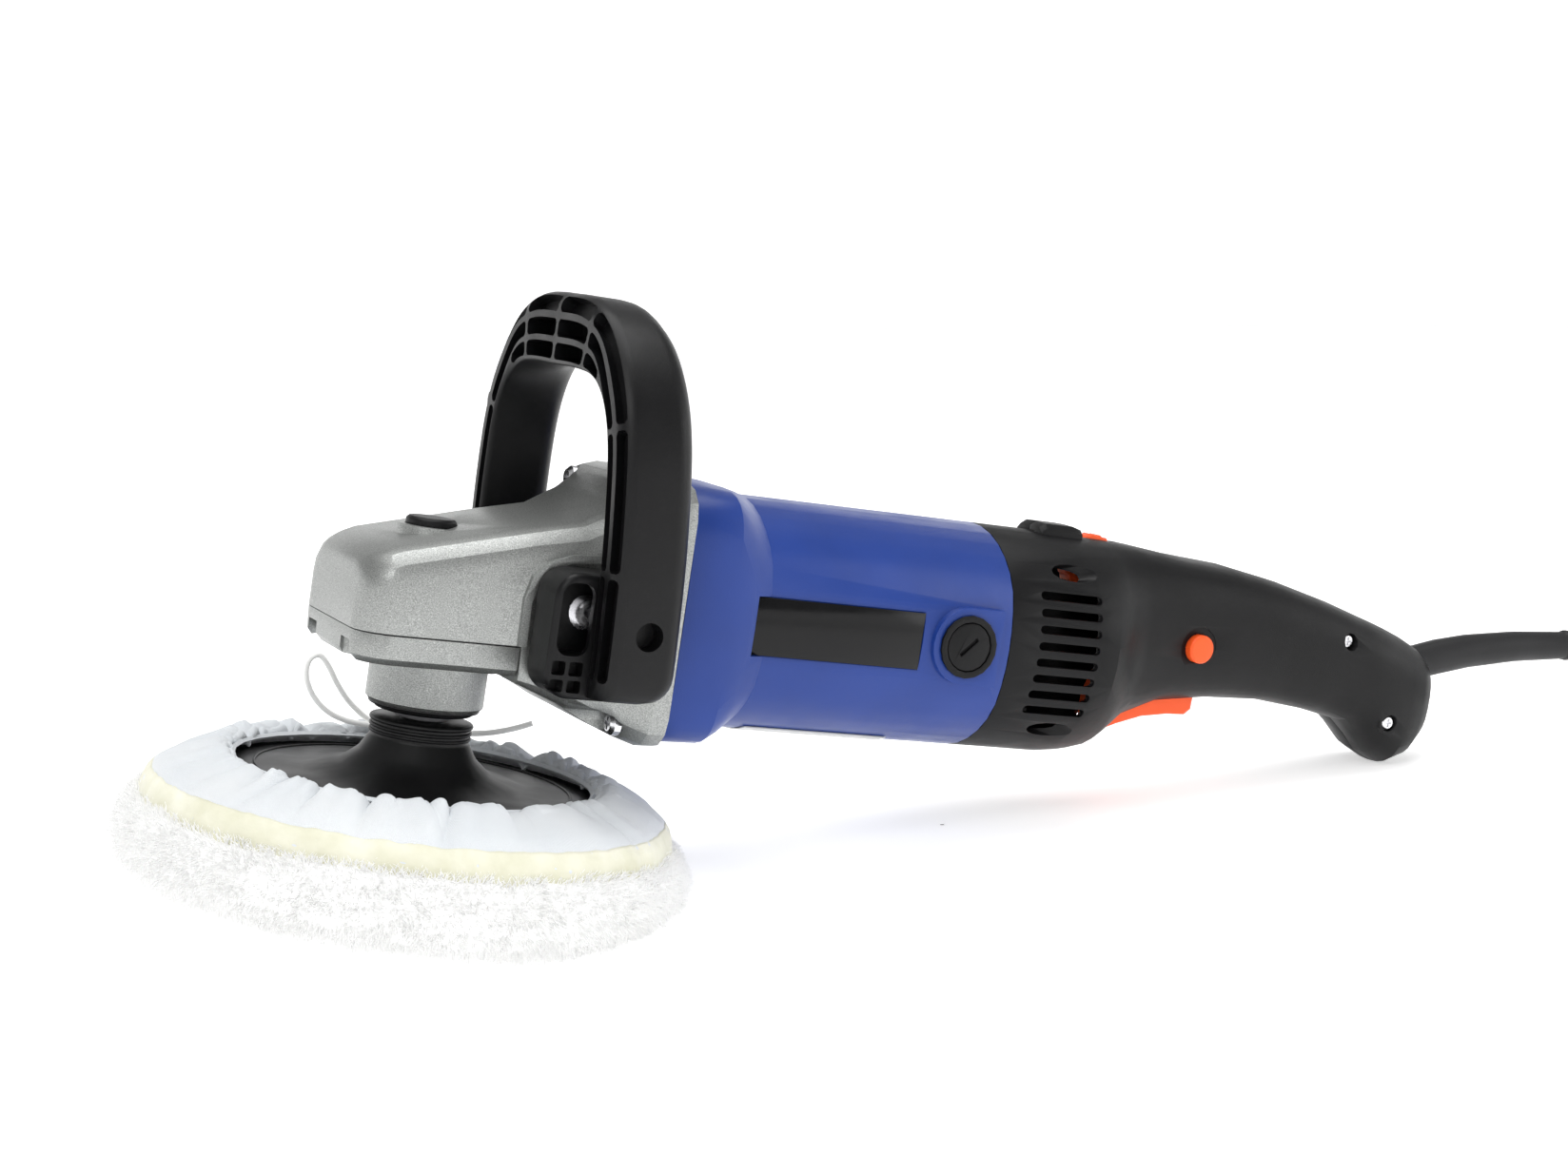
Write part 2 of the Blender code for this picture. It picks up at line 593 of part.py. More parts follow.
def armature():
    profile = ((PINION_SHAFT_R, PINION_X[0] - 1.5), (PINION_SHAFT_R, PINION_X[1] + 1.0), (SHAFT_R, PINION_X[1] + 2.0),
               (SHAFT_R, COMMUTATOR_X[1] + 1), (REAR_SHAFT_R, COMMUTATOR_X[1] + 1), (REAR_SHAFT_R, REAR_BEARING_X[1] + 1))
    motor_piece("armature_shaft", lathe(profile, False, 20), "bright")
    bore = SHAFT_R + 0.2
    count = 36
    turns = [2 * pi * i / count for i in range(count)]
    rim = [CORE_R if i % 3 < 2 else CORE_R - 4.0 for i in range(count)]
    core = skin([[(r * cos(a), r * sin(a), x) for r, a in zip(line, turns)] for line, x in
                 (([bore] * count, CORE_X[0]), (rim, CORE_X[0]), (rim, CORE_X[1]), ([bore] * count, CORE_X[1]))], True)
    motor_piece("armature_core", core, "steel")
    for name, near, far in (("front", CORE_X[0] - GAP, CORE_X[0] - 8), ("rear", CORE_X[1] + GAP, CORE_X[1] + 8)):
        middle = (near + far) / 2
        ring = ((bore, near), (CORE_R - 2.5, near), (CORE_R - 3.0, middle), (CORE_R - 9.0, far), (bore, far))
        motor_piece(f"armature_winding_{name}", lathe(ring, True, 24), "copper")
    low, high = COMMUTATOR_X
    motor_piece("commutator", lathe(((bore, low), (COMMUTATOR_R + 2, low), (COMMUTATOR_R + 2, low + 4),
                                     (COMMUTATOR_R, low + 5), (COMMUTATOR_R, high), (bore, high)), True, 20), "copper")
    motor_piece("front_bearing", tube(bore, BEARING_R, *FRONT_BEARING_X, 20), "steel")
    motor_piece("rear_bearing", tube(REAR_SHAFT_R + 0.2, REAR_BEARING_R, *REAR_BEARING_X, 24), "steel")


def motor_piece(name, shape, look):
    return add(name, moved(along_x(shape), z=MOTOR_Z), look)


def fan():
    low, high = FAN_X
    back = high - 1.6
    node = motor_piece("fan", lathe(((SHAFT_R + 0.2, low), (12.0, low), (12.0, back), (FAN_R, back), (FAN_R, high),
                                     (SHAFT_R + 0.2, high)), True, 28), "black")
    blade = block((11.5, -0.8, low + 1.0), (FAN_R - 1.5, 0.8, back + 0.6))
    blades = []
    for number in range(BLADES):
        a = 2 * pi * number / BLADES
        points = [(x * cos(a) - y * sin(a), x * sin(a) + y * cos(a), z) for x, y, z in blade[0]]
        blades.append(moved(along_x((points, blade[1])), z=MOTOR_Z))
    fuse(node, *blades)


def stator():
    count = 36
    turns = [2 * pi * i / count for i in range(count)]
    bore = [31.5 if abs(cos(a)) > cos(radians(28)) else STATOR_BORE for a in turns]
    outer = [STATOR_R] * count
    loops = [[(r * cos(a), r * sin(a), x) for r, a in zip(line, turns)]
             for line, x in ((bore, CORE_X[0]), (outer, CORE_X[0]), (outer, CORE_X[1]), (bore, CORE_X[1]))]
    motor_piece("stator_core", skin(loops, True), "steel")
    for name, up in (("top", 1), ("bottom", -1)):
        motor_piece(f"field_coil_{name}", field_coil(up), "copper")


def field_coil(up):
    """A saddle of wire round one pole: along one slot, round the end, and back along the other."""
    radius, wide, thick = 27.3, 2.7, 2.2
    edge, reach = radians(76), 6.0
    front, rear = CORE_X[0] - reach, CORE_X[1] + reach
    bends = [(1 - i / 4) * edge - (i / 4) * edge for i in range(5)]
    path = [(front, a, -1) for a in bends] + [(rear, -a, 1) for a in bends]
    loops = []
    for x, a, end in path:
        corner = abs(a) > edge - 0.01
        out_x = end * wide
        side = (1 if a > 0 else -1) * wide / radius if corner else 0.0
        loop = []
        for along, high in ((-1, -1), (1, -1), (1, 1), (-1, 1)):
            r = radius + high * thick
            angle = up * pi / 2 + a + along * side
            loop.append((r * cos(angle), r * sin(angle), x + along * out_x))
        loops.append(loop)
    return skin(loops, True)


def motor_housing():
    angles = section_angles()
    sections = ((FLANGE_X, flange_section(0.0, angles)), (FLANGE_X + 19, flange_section(0.4, angles)),
                (FLANGE_X + 27, blended(flange_section(0.0, angles), body_section(0.0, angles), 0.45)),
                (FLANGE_X + 36, body_section(0.0, angles)), (BODY_END, body_section(0.0, angles)))
    node = add("motor_housing", skin([at_x(x, line) for x, line in sections]), "blue")
    inside = ((FLANGE_X - 2, flange_section(WALL, angles)), (FLANGE_X + 15, flange_section(WALL + 0.4, angles)),
              (FLANGE_X + 21, blended(flange_section(WALL, angles), body_section(WALL, angles), 0.45)),
              (FLANGE_X + 27, body_section(WALL, angles)), (BODY_END - BULKHEAD, body_section(WALL, angles)))
    cut(node, skin([at_x(x, line) for x, line in inside]))
    fuse(node, *at_places(along_x(rod(5.2, FLANGE_X, FLANGE_X + 16, 12)),
                          [(0.0, y * 0.97, MOTOR_Z + (z - MOTOR_Z) * 0.97) for _, y, z in flange_screw_places()]))
    boss = moved(boss_shape(), x=BRUSH_X, z=MOTOR_Z)
    fuse(node, boss, mirrored(boss))
    hole = moved(along_y(rod(9.9, 30.0, 50.0, 24)), x=BRUSH_X, z=MOTOR_Z)
    cut(node, hole, mirrored(hole))
    cut(node, moved(along_x(rod(REAR_BEARING_R + 0.2, BODY_END - BULKHEAD - 2, BODY_END + 2, 24)), z=MOTOR_Z))
    low, high = LABEL_X
    seat = block((low - GAP, LABEL_SEAT, MOTOR_Z - LABEL_HALF - GAP), (high + GAP, LABEL_SEAT + 20, MOTOR_Z + LABEL_HALF + GAP))
    cut(node, seat, mirrored(seat))
    cut(node, *[moved(along_x(rod(6.5, BODY_END - BULKHEAD - 2, BODY_END + 2, 12)), y=25 * cos(a), z=MOTOR_Z + 25 * sin(a))
                for a in [pi / 3 * i for i in range(6)]],
        *at_places(along_x(rod(2.0, BODY_END - BULKHEAD - 2, BODY_END + 2, 12)), rear_screw_places()))
    cut(node, *at_places(along_x(rod(2.6, FLANGE_X - 2, FLANGE_X + 13, 12)), flange_screw_places()))


def boss_shape():
    """The raised D round a brush cap, on the far side."""
    turns = [pi / 2 + pi * i / 12 for i in range(13)]
    outline = [(BOSS_R * sin(a), BOSS_R * cos(a)) for a in turns] + [(-BOSS_R, 14.5), (BOSS_R, 14.5)]
    return along_y(prism(outline, 38.5, BRUSH_FACE - 1.3))


def rear_screw_places():
    r = REAR_SCREW_R / sqrt(2)
    return [(0.0, sy * r, MOTOR_Z + sz * r) for sy in (-1, 1) for sz in (1, -1)]


def brush_gear():
    face = BRUSH_FACE
    holder = lathe(((BRUSH_R, face + 0.2), (BRUSH_R, face - 1.0), (9.6, face - 1.0), (9.6, 17.5), (5.6, 17.5),
                    (5.6, 36.0), (8.2, 36.0), (8.2, face - 1.7), (9.4, face - 1.7), (9.4, face + 0.2)), True, 18)
    cap = lathe(((7.9, 36.6), (7.9, face - 1.4), (9.1, face - 1.4), (9.1, face)), False, 18)
    slot = [(x * cos(pi / 4) - y * sin(pi / 4), x * sin(pi / 4) + y * cos(pi / 4))
            for x, y in ((-4.5, -0.8), (4.5, -0.8), (4.5, 0.8), (-4.5, 0.8))]
    for name, put in (("near", mirrored), ("far", as_is)):
        def placed(shape):
            return put(moved(along_y(shape), x=BRUSH_X, z=MOTOR_Z))
        add(f"brush_holder_{name}", placed(holder), "black")
        add(f"carbon_brush_{name}", placed(block((-3.8, -2.8, COMMUTATOR_R + 0.4), (3.8, 2.8, 29.0))), "carbon")
        node = add(f"brush_cap_{name}", placed(cap), "black")
        cut(node, placed(prism(slot, face - 1.3, face + 1)))


def plates():
    """A name plate in the seat on each side, and a curved rating plate under the body."""
    low, high = LABEL_X
    for name, put in (("near", mirrored), ("far", as_is)):
        plate = block((low, LABEL_SEAT + GAP, MOTOR_Z - LABEL_HALF), (high, LABEL_SEAT + 1.0, MOTOR_Z + LABEL_HALF))
        add(f"name_plate_{name}", put(plate), "label")
    add("rating_plate", arc_plate(BODY_R, radians(22), 119.0, 179.0, -pi / 2), "rating")


def arc_plate(radius, half_angle, low, high, middle, steps=6):
    turns = [middle - half_angle + 2 * half_angle * i / steps for i in range(steps + 1)]
    outline = [((radius + 0.15) * cos(a), (radius + 0.15) * sin(a)) for a in turns]
    outline += [((radius + 0.6) * cos(a), (radius + 0.6) * sin(a)) for a in reversed(turns)]
    return skin([[(x, y, MOTOR_Z + z) for y, z in outline] for x in (low, high)])


# ---------------------------------------------------------------- rear housing and its controls

def rear_half(name, side):
    steps = 17
    angles = [pi / 2 + pi * i / steps for i in range(steps + 1)]

    def halved(loop, edge):
        return [(x, min(y, edge), z) if side < 0 else (x, max(-y, -edge), z) for x, y, z in loop]
    node = add(name, skin([halved(loop, -GAP / 2) for loop in handle_loops(0.0, angles, BODY_END + GAP)]), "black")
    inner = []
    for loop in handle_loops(REAR_WALL, angles, BODY_END - 1)[:-1]:
        x = loop[0][0]
        back = 2.0 if x > 425 else 0.0
        line = [(px - back, py, pz) for px, py, pz in halved(loop, 0.0)]
        line[0] = (line[0][0], -side, line[0][2])
        line[-1] = (line[-1][0], -side, line[-1][2])
        inner.append(line)
    cut(node, skin(inner))
    places = [p for p in rear_screw_places() if p[1] * side > 0]
    fuse(node, *at_places(along_x(rod(5.0, BODY_END + GAP, REAR_SEAT_X + 2, 12)), places))
    recess = []
    for _, y, z in places:
        lift = 1.27
        recess.append(skin([[(REAR_SEAT_X, y + 4.2 * cos(a), z + 4.2 * sin(a)) for a in section_angles(14)],
                            [(REAR_SEAT_X + 26, y * lift + 4.2 * cos(a), MOTOR_Z + (z - MOTOR_Z) * lift + 4.2 * sin(a))
                             for a in section_angles(14)]]))
    cut(node, *recess)
    cut(node, *at_places(along_x(rod(2.2, BODY_END - 1, REAR_SEAT_X + 1, 12)), places))
    pitch = (SLOT_Z[1] - SLOT_Z[0]) / (SLOT_COUNT - 1)
    middle, half = (SLOT_X[0] + SLOT_X[1]) / 2, (SLOT_X[1] - SLOT_X[0]) / 2
    slot = [(z, x) for x, z in rounded(half, SLOT_HIGH / 2, SLOT_HIGH / 2 - 0.01, arc=2)]
    low, high = (30.0, 50.0) if side > 0 else (-50.0, -30.0)
    cut(node, *[moved(along_y(prism(slot, low, high)), x=middle, z=SLOT_Z[0] + pitch * k) for k in range(SLOT_COUNT)])
    return node


def hump(side):
    """Half of the guard in front of the speed dial."""
    near, far = (GAP / 2, 9.0)
    outline = ((238.5, 146.0), (238.5, 151.8), (241.0, 153.6), (254.0, 153.6), (257.8, 152.6), (258.2, 146.0))
    loops = [[(x, side * y, z if z < 150 else z - drop) for x, z in outline] for y, drop in ((near, 0.0), (7.0, 0.2), (far, 2.0))]
    return skin(loops)


def rear_housing():
    near = rear_half("rear_housing_near", -1)
    far = rear_half("rear_housing_far", 1)
    dial_x, lever, dial = DIAL_AT[0], TRIGGER_HALF + 0.7, DIAL_HALF + 0.5
    for node, side in ((near, -1), (far, 1)):
        fuse(node, hump(side))
        cut(node, block((279.2, side_low(side, lever), 58.0), (325.4, side_high(side, lever), 100.0)))
        cut(node, block((dial_x - 9.9, side_low(side, dial), 141.0), (dial_x + 9.9, side_high(side, dial), 160.0)))
        cut(node, moved(along_x(rod(CORD_HOLE_R, 429.5, 455.0, 20)), z=CORD_HOLE_Z))
        boss = rod(5.0, *sorted((side * GAP / 2, side * (HANDLE_SEAT + 3))), 12)
        fuse(node, *at_handle_screws(boss))
        if side < 0:
            cut(node, *at_handle_screws(rod(3.7, -40.0, -HANDLE_SEAT, 12)))
            cut(node, *at_handle_screws(rod(1.8, -HANDLE_SEAT - 1, 1.0, 8)))
        else:
            cut(node, *at_handle_screws(rod(1.7, -1.0, 10.0, 8)))
    x, z = LOCK_ON_AT
    cut(near, moved(along_y(rod(8.7, -40.0, -26.0, 28)), x=x, z=z))
    cut(near, moved(along_y(rod(LOCK_ON_R + RUN, -27.0, -12.0, 24)), x=x, z=z))


def at_handle_screws(shape):
    return [moved(along_y(shape), x=x, z=z) for x, z in HANDLE_SCREWS]


def side_low(side, half):
    return -half if side < 0 else -1.0


def side_high(side, half):
    return 1.0 if side < 0 else half


def rear_screws():
    for number, place in enumerate(rear_screw_places(), 1):
        shape = screw(3.4, 2.6, 1.6, 22.0)
        node_shape = [(-z, x, y) for x, y, z in shape[0]], shape[1]
        recess = cross(1.8, 0.9, -4.0, -1.4)
        tool = [(-z, x, y) for x, y, z in recess[0]], recess[1]
        at = (REAR_SEAT_X + GAP, place[1], place[2])
        node = add(f"rear_screw_{number}", moved(outward(*node_shape), *at), "steel")
        cut(node, moved(outward(*tool), *at))
    for number, (x, z) in enumerate(HANDLE_SCREWS, 1):
        place_screw(f"handle_screw_{number}", screw(3.2, 2.4, 1.4, 24.0), cross(1.7, 0.9, -4.0, -1.2), along_y,
                    (x, -HANDLE_SEAT - GAP, z))


def controls():
    x, z = LOCK_AT
    top = z + LOCK_PROUD
    node = add("lock_button", moved(lathe(((LOCK_R, z - 2.0), (LOCK_R, top - 1.0), (LOCK_R - 1.0, top)), False, 24), x=x), "black",
               (x, 0.0, z))
    fuse(node, moved(rod(LOCK_PIN_R, CROWN_Z[1] + 1.6, z - 1.0, 12), x=LOCK_PIN_X))
    px, pz = TRIGGER_PIVOT
    outline = ((281.0, 73.8), (288.0, 76.8), (300.0, 80.8), (312.0, 82.6), (321.0, 83.0), (323.8, 85.4), (324.2, 95.5),
               (312.0, 98.0), (296.0, 98.5), (284.0, 96.0), (280.6, 86.0))
    loops = [[(a + (px - a) * pull * 0.04, y, b + (pz - b) * pull * 0.06) for a, b in outline]
             for y, pull in ((-TRIGGER_HALF, 1), (-TRIGGER_HALF + 1.2, 0), (TRIGGER_HALF - 1.2, 0), (TRIGGER_HALF, 1))]
    node = add("trigger", skin(loops), "orange", (px, 0.0, pz))
    cut(node, moved(along_y(rod(1.8, -12.0, 12.0, 14)), x=px, z=pz))
    add("trigger_pin", moved(along_y(rod(1.5, -17.5, 17.5, 12)), x=px, z=pz), "steel")
    add("switch_body", block((296.0, -10.5, 104.0), (336.0, 10.5, 131.0)), "black")
    bx, bz = LOCK_ON_AT
    button = lathe(((LOCK_ON_R - 0.8, -29.6), (LOCK_ON_R, -28.8), (LOCK_ON_R, -15.5)), False, 24)
    add("lock_on_button", moved(along_y(button), x=bx, z=bz), "orange", (bx, -29.6, bz))
    dx, dz = DIAL_AT
    count = 48
    rim = [DIAL_R if i % 2 else DIAL_R - 0.6 for i in range(count)]
    turns = [2 * pi * i / count for i in range(count)]
    wheel = skin([[(r * sin(a), r * cos(a), y) for r, a in zip(rim, turns)] for y in (-DIAL_HALF, DIAL_HALF)])
    node = add("speed_dial", moved(along_y(wheel), x=dx, z=dz), "orange", (dx, 0.0, dz))
    sleeve()


def sleeve():
    loops = []
    for k, ((x, z), radius) in enumerate(zip(SLEEVE_POINTS, SLEEVE_RADII)):
        a, b = SLEEVE_POINTS[max(0, k - 1)], SLEEVE_POINTS[min(len(SLEEVE_POINTS) - 1, k + 1)]
        slope = atan2(b[1] - a[1], b[0] - a[0])
        loops.append(ring_at((x, z), slope, radius))
    x, z = SLEEVE_POINTS[-1]
    dx, dz = cos(slope), sin(slope)
    loops.append(ring_at((x + 0.4 * dx, z + 0.4 * dz), slope, 6.7))
    loops.append(ring_at((x + 3.4 * dx, z + 3.4 * dz), slope, 6.7))
    first = SLEEVE_POINTS[0]
    loops.insert(0, ring_at((first[0] - 0.1, first[1]), 0.07, 8.8))
    loops.insert(0, ring_at((first[0] - 2.6, first[1]), 0.07, 8.8))
    add("strain_relief", skin(loops), "lead")


def ring_at(place, slope, radius, sides=14):
    x, z = place
    return [(x - radius * sin(a) * sin(slope), radius * cos(a), z + radius * sin(a) * cos(slope))
            for a in section_angles(sides)]


# ---------------------------------------------------------------- front handle

def grip_front(z):
    return GRIP_FOOT_X - (z - PAD_Z[0]) * sin(radians(GRIP_LEAN))


def grip_line():
    """Inner and outer points of the loop from the near foot over the crown to the far foot."""
    half = list(zip(eased(GRIP_INNER), eased(GRIP_OUTER)))
    near = [((-a[0], a[1]), (-b[0], b[1])) for a, b in half]
    return near + [(a, b) for a, b in reversed(half[:-1])]


def eased(line, steps=2):
    """A line through the same points with rounder turns: cubic between points, level at the crown."""
    points = [line[0]] + list(line) + [(-line[-2][0], line[-2][1])]
    eased_line = []
    for a, b, c, d in zip(points, points[1:], points[2:], points[3:]):
        for i in range(steps):
            t = i / steps
            eased_line.append(tuple(0.5 * (2 * q + (r - p) * t + (2 * p - 5 * q + 4 * r - s) * t ** 2
                                           + (3 * q - p - 3 * r + s) * t ** 3) for p, q, r, s in zip(a, b, c, d)))
    return eased_line + [line[-1]]


def grip_section(inner, outer, front_round=3.5, rear_round=9.0, arc=3):
    """The bar's section between an inner and an outer point, with small radii in front and large behind."""
    wide = sqrt((outer[0] - inner[0]) ** 2 + (outer[1] - inner[1]) ** 2)
    dy, dz = (outer[0] - inner[0]) / wide, (outer[1] - inner[1]) / wide
    front = grip_front((inner[1] + outer[1]) / 2)
    rear = front + GRIP_DEEP
    middle = wide / 2
    points = []
    for quarter, (x, across, radius) in enumerate(((rear - rear_round, wide, rear_round),
                                                   (front + front_round, wide, front_round),
                                                   (front + front_round, 0.0, front_round),
                                                   (rear - rear_round, 0.0, rear_round))):
        radius = min(radius, middle - 1.0)
        centre = across - radius if across else radius
        for i in range(arc + 1):
            a = (quarter + i / arc) * pi / 2
            u, v = x + radius * cos(a), centre + radius * sin(a)
            points.append((u, inner[0] + v * dy, inner[1] + v * dz))
    return points


def front_handle():
    node = add("d_handle", skin([grip_section(a, b) for a, b in grip_line()]), "black")
    low, high = PAD_Z
    outline = rounded((PAD_X[1] - PAD_X[0]) / 2, (high - low) / 2, 9.0, arc=3)
    foot = [(z, x) for x, z in outline]
    foot = moved(along_y(prism(foot, PAD_Y, GRIP_INNER[1][0] + 4)), x=(PAD_X[0] + PAD_X[1]) / 2, z=(low + high) / 2)
    fuse(node, mirrored(foot), foot)
    seat = PAD_Y + 6.0
    pocket = [(z, x) for x, z in rounded(POCKET_HALF[0], POCKET_HALF[1], 6.0, arc=3)]
    pocket = moved(along_y(prism(pocket, seat, GRIP_INNER[0][0] - 1.0)), x=BOLT_X - 1.0, z=MOTOR_Z - 4.5)
    mouth_back = grip_front(MOTOR_Z) - 1.0
    mouth_front = BOLT_X - 1.0 - POCKET_HALF[0]
    mouth = [(z, x) for x, z in rounded((mouth_back - mouth_front) / 2, POCKET_HALF[1], 4.5, arc=3)]
    mouth = moved(along_y(prism(mouth, GRIP_INNER[0][0] - 2.0, PAD_OUT + 30)), x=(mouth_front + mouth_back) / 2,
                  z=MOTOR_Z - 4.5)
    hole = moved(along_y(rod(3.4, PAD_Y - 2, seat + 1)), x=BOLT_X, z=MOTOR_Z)
    cut(node, pocket, mirrored(pocket))
    cut(node, mouth, mirrored(mouth))
    cut(node, hole, mirrored(hole))
    leg_hole = moved(along_y(rod(5.0, 66.0, 85.0, 14)), x=LEG_HOLE[0], z=LEG_HOLE[1])
    cut(node, leg_hole, mirrored(leg_hole))
    for name, side in (("near", -1), ("far", 1)):
        put = as_is if side > 0 else mirrored
        head = lathe(((2.8, 32.0), (2.8, seat + GAP), (6.2, seat + GAP), (6.2, seat + 1.8), (5.0, seat + 1.8),
                      (5.0, seat + 6.2), (4.4, seat + 6.8)), False, 20)
        bolt = add(f"handle_bolt_{name}", put(moved(along_y(head), x=BOLT_X, z=MOTOR_Z)), "steel")
        cut(bolt, put(moved(along_y(hexagon(2.9, seat + 3.0, seat + 8.0)), x=BOLT_X, z=MOTOR_Z)))


# ---------------------------------------------------------------- backing plate, bonnet and drawstring

def backing_plate():
    rim = PLATE_LOW + PLATE_RIM
    reach = PLATE_R - HUB_R
    slope = [(PLATE_R - 2.0, rim + 2.0), (HUB_R + 0.724 * reach, rim + 8.3), (HUB_R + 0.49 * reach, rim + 10.0),
             (HUB_R + 0.31 * reach, rim + 10.5), (HUB_R + 0.131 * reach, rim + 14.0), (HUB_R + 3.5, HUB_TOP - 12.6),
             (HUB_R + 0.5, HUB_TOP - 7.6), (HUB_R, HUB_TOP - 7.1), (HUB_R, HUB_TOP), (HUB_BORE, HUB_TOP)]
    outline = [(HUB_BORE, PLATE_LOW), (PLATE_R - PLATE_DISH, PLATE_LOW), (PLATE_R, PLATE_LOW + 4.0), (PLATE_R, rim)]
    return add("backing_plate", lathe(outline + slope, True, 32), "black")


def bonnet(tilt):
    """The pile round and under the plate, and the cloth over its rim up to the mouth."""
    rim = PLATE_LOW + PLATE_RIM
    outer = ((0.05, BONNET_BOTTOM), (BONNET_R - 14.0, BONNET_BOTTOM), (BONNET_R - 5.0, BONNET_BOTTOM + 4.5),
             (BONNET_R - 0.5, BONNET_BOTTOM + 11.0), (BONNET_R, rim - 12.0), (BONNET_R - 2.5, rim - 7.0),
             (BONNET_R - 5.0, rim - 2.0), (BONNET_R - 8.0, rim + 2.5), (PLATE_R - 1.0, rim + 5.4),
             (BONNET_MOUTH_R + 6.0, rim + 11.2), (BONNET_MOUTH_R, rim + 10.9 + CLOTH_THICK))
    inner = ((BONNET_MOUTH_R, rim + 10.9), (BONNET_MOUTH_R + 4.0, rim + 9.6), (PLATE_R - 1.4, rim + 3.1),
             (PLATE_R + 1.2, rim + 0.6), (PLATE_R + 1.2, PLATE_LOW + 3.6),
             (PLATE_R - PLATE_DISH + 0.6, PLATE_LOW - 0.8), (0.05, PLATE_LOW - 0.8))
    node = add("bonnet", lathe(outer + inner, False, 40), "cloth")
    x, z = resting_edge()
    slope = sin(tilt) / cos(tilt)
    reach = BONNET_R + 10.0
    ground = ((z - (x - reach) * slope, reach), (z - (x + reach) * slope, -reach), (-60.0, -reach), (-60.0, reach))
    cut(node, along_y(prism(ground, -reach, reach)))


def drawstring():
    """The cord through the bonnet's hem, with a bow that lies on the cloth behind the hub."""
    ring_r = BONNET_MOUTH_R - 0.7 - STRING_R
    height, r = PLATE_LOW + PLATE_RIM + 12.2, STRING_R
    sides = 4
    loops = []
    for i in range(32):
        a = 2 * pi * i / 32
        loops.append([((ring_r + r * cos(b)) * cos(a), (ring_r + r * cos(b)) * sin(a), height + r * sin(b))
                      for b in [2 * pi * k / sides for k in range(sides)]])
    add("drawstring", skin(loops, True), "cord")


# ---------------------------------------------------------------- resting place and lead

def resting_edge():
    """Where the wool of the bonnet's rear rim bears on the ground: (X, Z)."""
    return BONNET_R - 5.0, BONNET_BOTTOM + WOOL_REST


def resting_tilt():
    """The machine tips back until the toe of its rear handle is down as well."""
    x, z = resting_edge()
    return min(atan2(low - z, place - x) for place, _, low, _, _ in HANDLE_SECTIONS)


def evaluated_box(nodes):
    graph = bpy.context.evaluated_depsgraph_get()
    corners = []
    for node in nodes:
        shown = node.evaluated_get(graph)
        mesh = shown.to_mesh()
        corners += [shown.matrix_world @ v.co for v in mesh.vertices]
        shown.to_mesh_clear()
    low = Vector([min(c[i] for c in corners) for i in range(3)])
    high = Vector([max(c[i] for c in corners) for i in range(3)])
    return low, high


def stand(tilt):
    """Tips the machine back onto the ground and centres its box on the origin."""
    x, z = resting_edge()
    machine.rotation_euler = (0.0, tilt, 0.0)
    machine.location = (0.0, 0.0, (x * sin(tilt) - z * cos(tilt)) * MM)
    bpy.context.view_layer.update()
    low, high = evaluated_box([node for node in bpy.data.objects if node.type == "MESH" and not node.hide_render])
    machine.location.x -= (low.x + high.x) / 2
    machine.location.y -= (low.y + high.y) / 2
    bpy.context.view_layer.update()


# ---------------------------------------------------------------- lead, coil and plug on the ground

def add_on_ground(name, shape, look):
    """A named solid whose shape is in metres in the row's own frame."""
    node = add(name, ([tuple(c / MM for c in p) for p in shape[0]], shape[1]), look)
    node.parent = None
    return node


def swept(route, radius, sides=10):
    """A round tube along a route that is never vertical."""
    loops = []
    for k, point in enumerate(route):
        ahead = Vector(route[min(k + 1, len(route) - 1)]) - Vector(route[max(k - 1, 0)])
        across = ahead.cross(Vector((0, 0, 1))).normalized()
        up = across.cross(ahead).normalized()
        loops.append([tuple(Vector(point) + radius * (cos(a) * across + sin(a) * up)) for a in section_angles(sides)])
    return skin(loops)


def lead():
    add_on_ground("cord_lead", swept(LEAD_POINTS, LEAD_R), "lead")
    across, high = COIL_TURNS
    inner = COIL_MID_R - across * LEAD_R
    outer = COIL_MID_R + across * LEAD_R
    ring = tube(inner, outer, 0.0002, high * 2 * LEAD_R, 32)
    add_on_ground("cord_coil", moved(ring, *COIL_CENTRE), "lead")


def plug():
    """A flat two-pin plug that lies on its face, with its cable end towards +Y."""
    loops = []
    for back, half_wide, half_thick, radius in (
            (0.0, 0.0052, 0.0052, 0.0051), (0.013, 0.0062, 0.0062, 0.006), (0.018, 0.0120, 0.0072, 0.006),
            (0.025, 0.0165, 0.0082, 0.006), (0.034, PLUG_HALF_WIDE, PLUG_HALF_THICK, 0.006),
            (0.049, PLUG_HALF_WIDE, PLUG_HALF_THICK, 0.006), (0.050, PLUG_HALF_WIDE - 0.001, PLUG_HALF_THICK - 0.001, 0.005)):
        loops.append([(x, -back, z) for x, z in rounded(half_wide, half_thick, radius, arc=3)])
    at = {"x": PLUG_AT[0], "y": PLUG_AT[1], "z": PLUG_HALF_THICK + 0.0002}
    node = add_on_ground("plug", moved(skin(loops), **at), "lead")
    pins = [moved(along_y(rod(PIN_R, -0.068, -0.048, 10)), x=side * PIN_PITCH / 2) for side in (-1, 1)]
    tool = joined(*[moved(pin, **at) for pin in pins])
    fuse(node, ([tuple(c / MM for c in p) for p in tool[0]], tool[1]))
    bpy.data.objects[node.modifiers[-1].object.name].parent = None


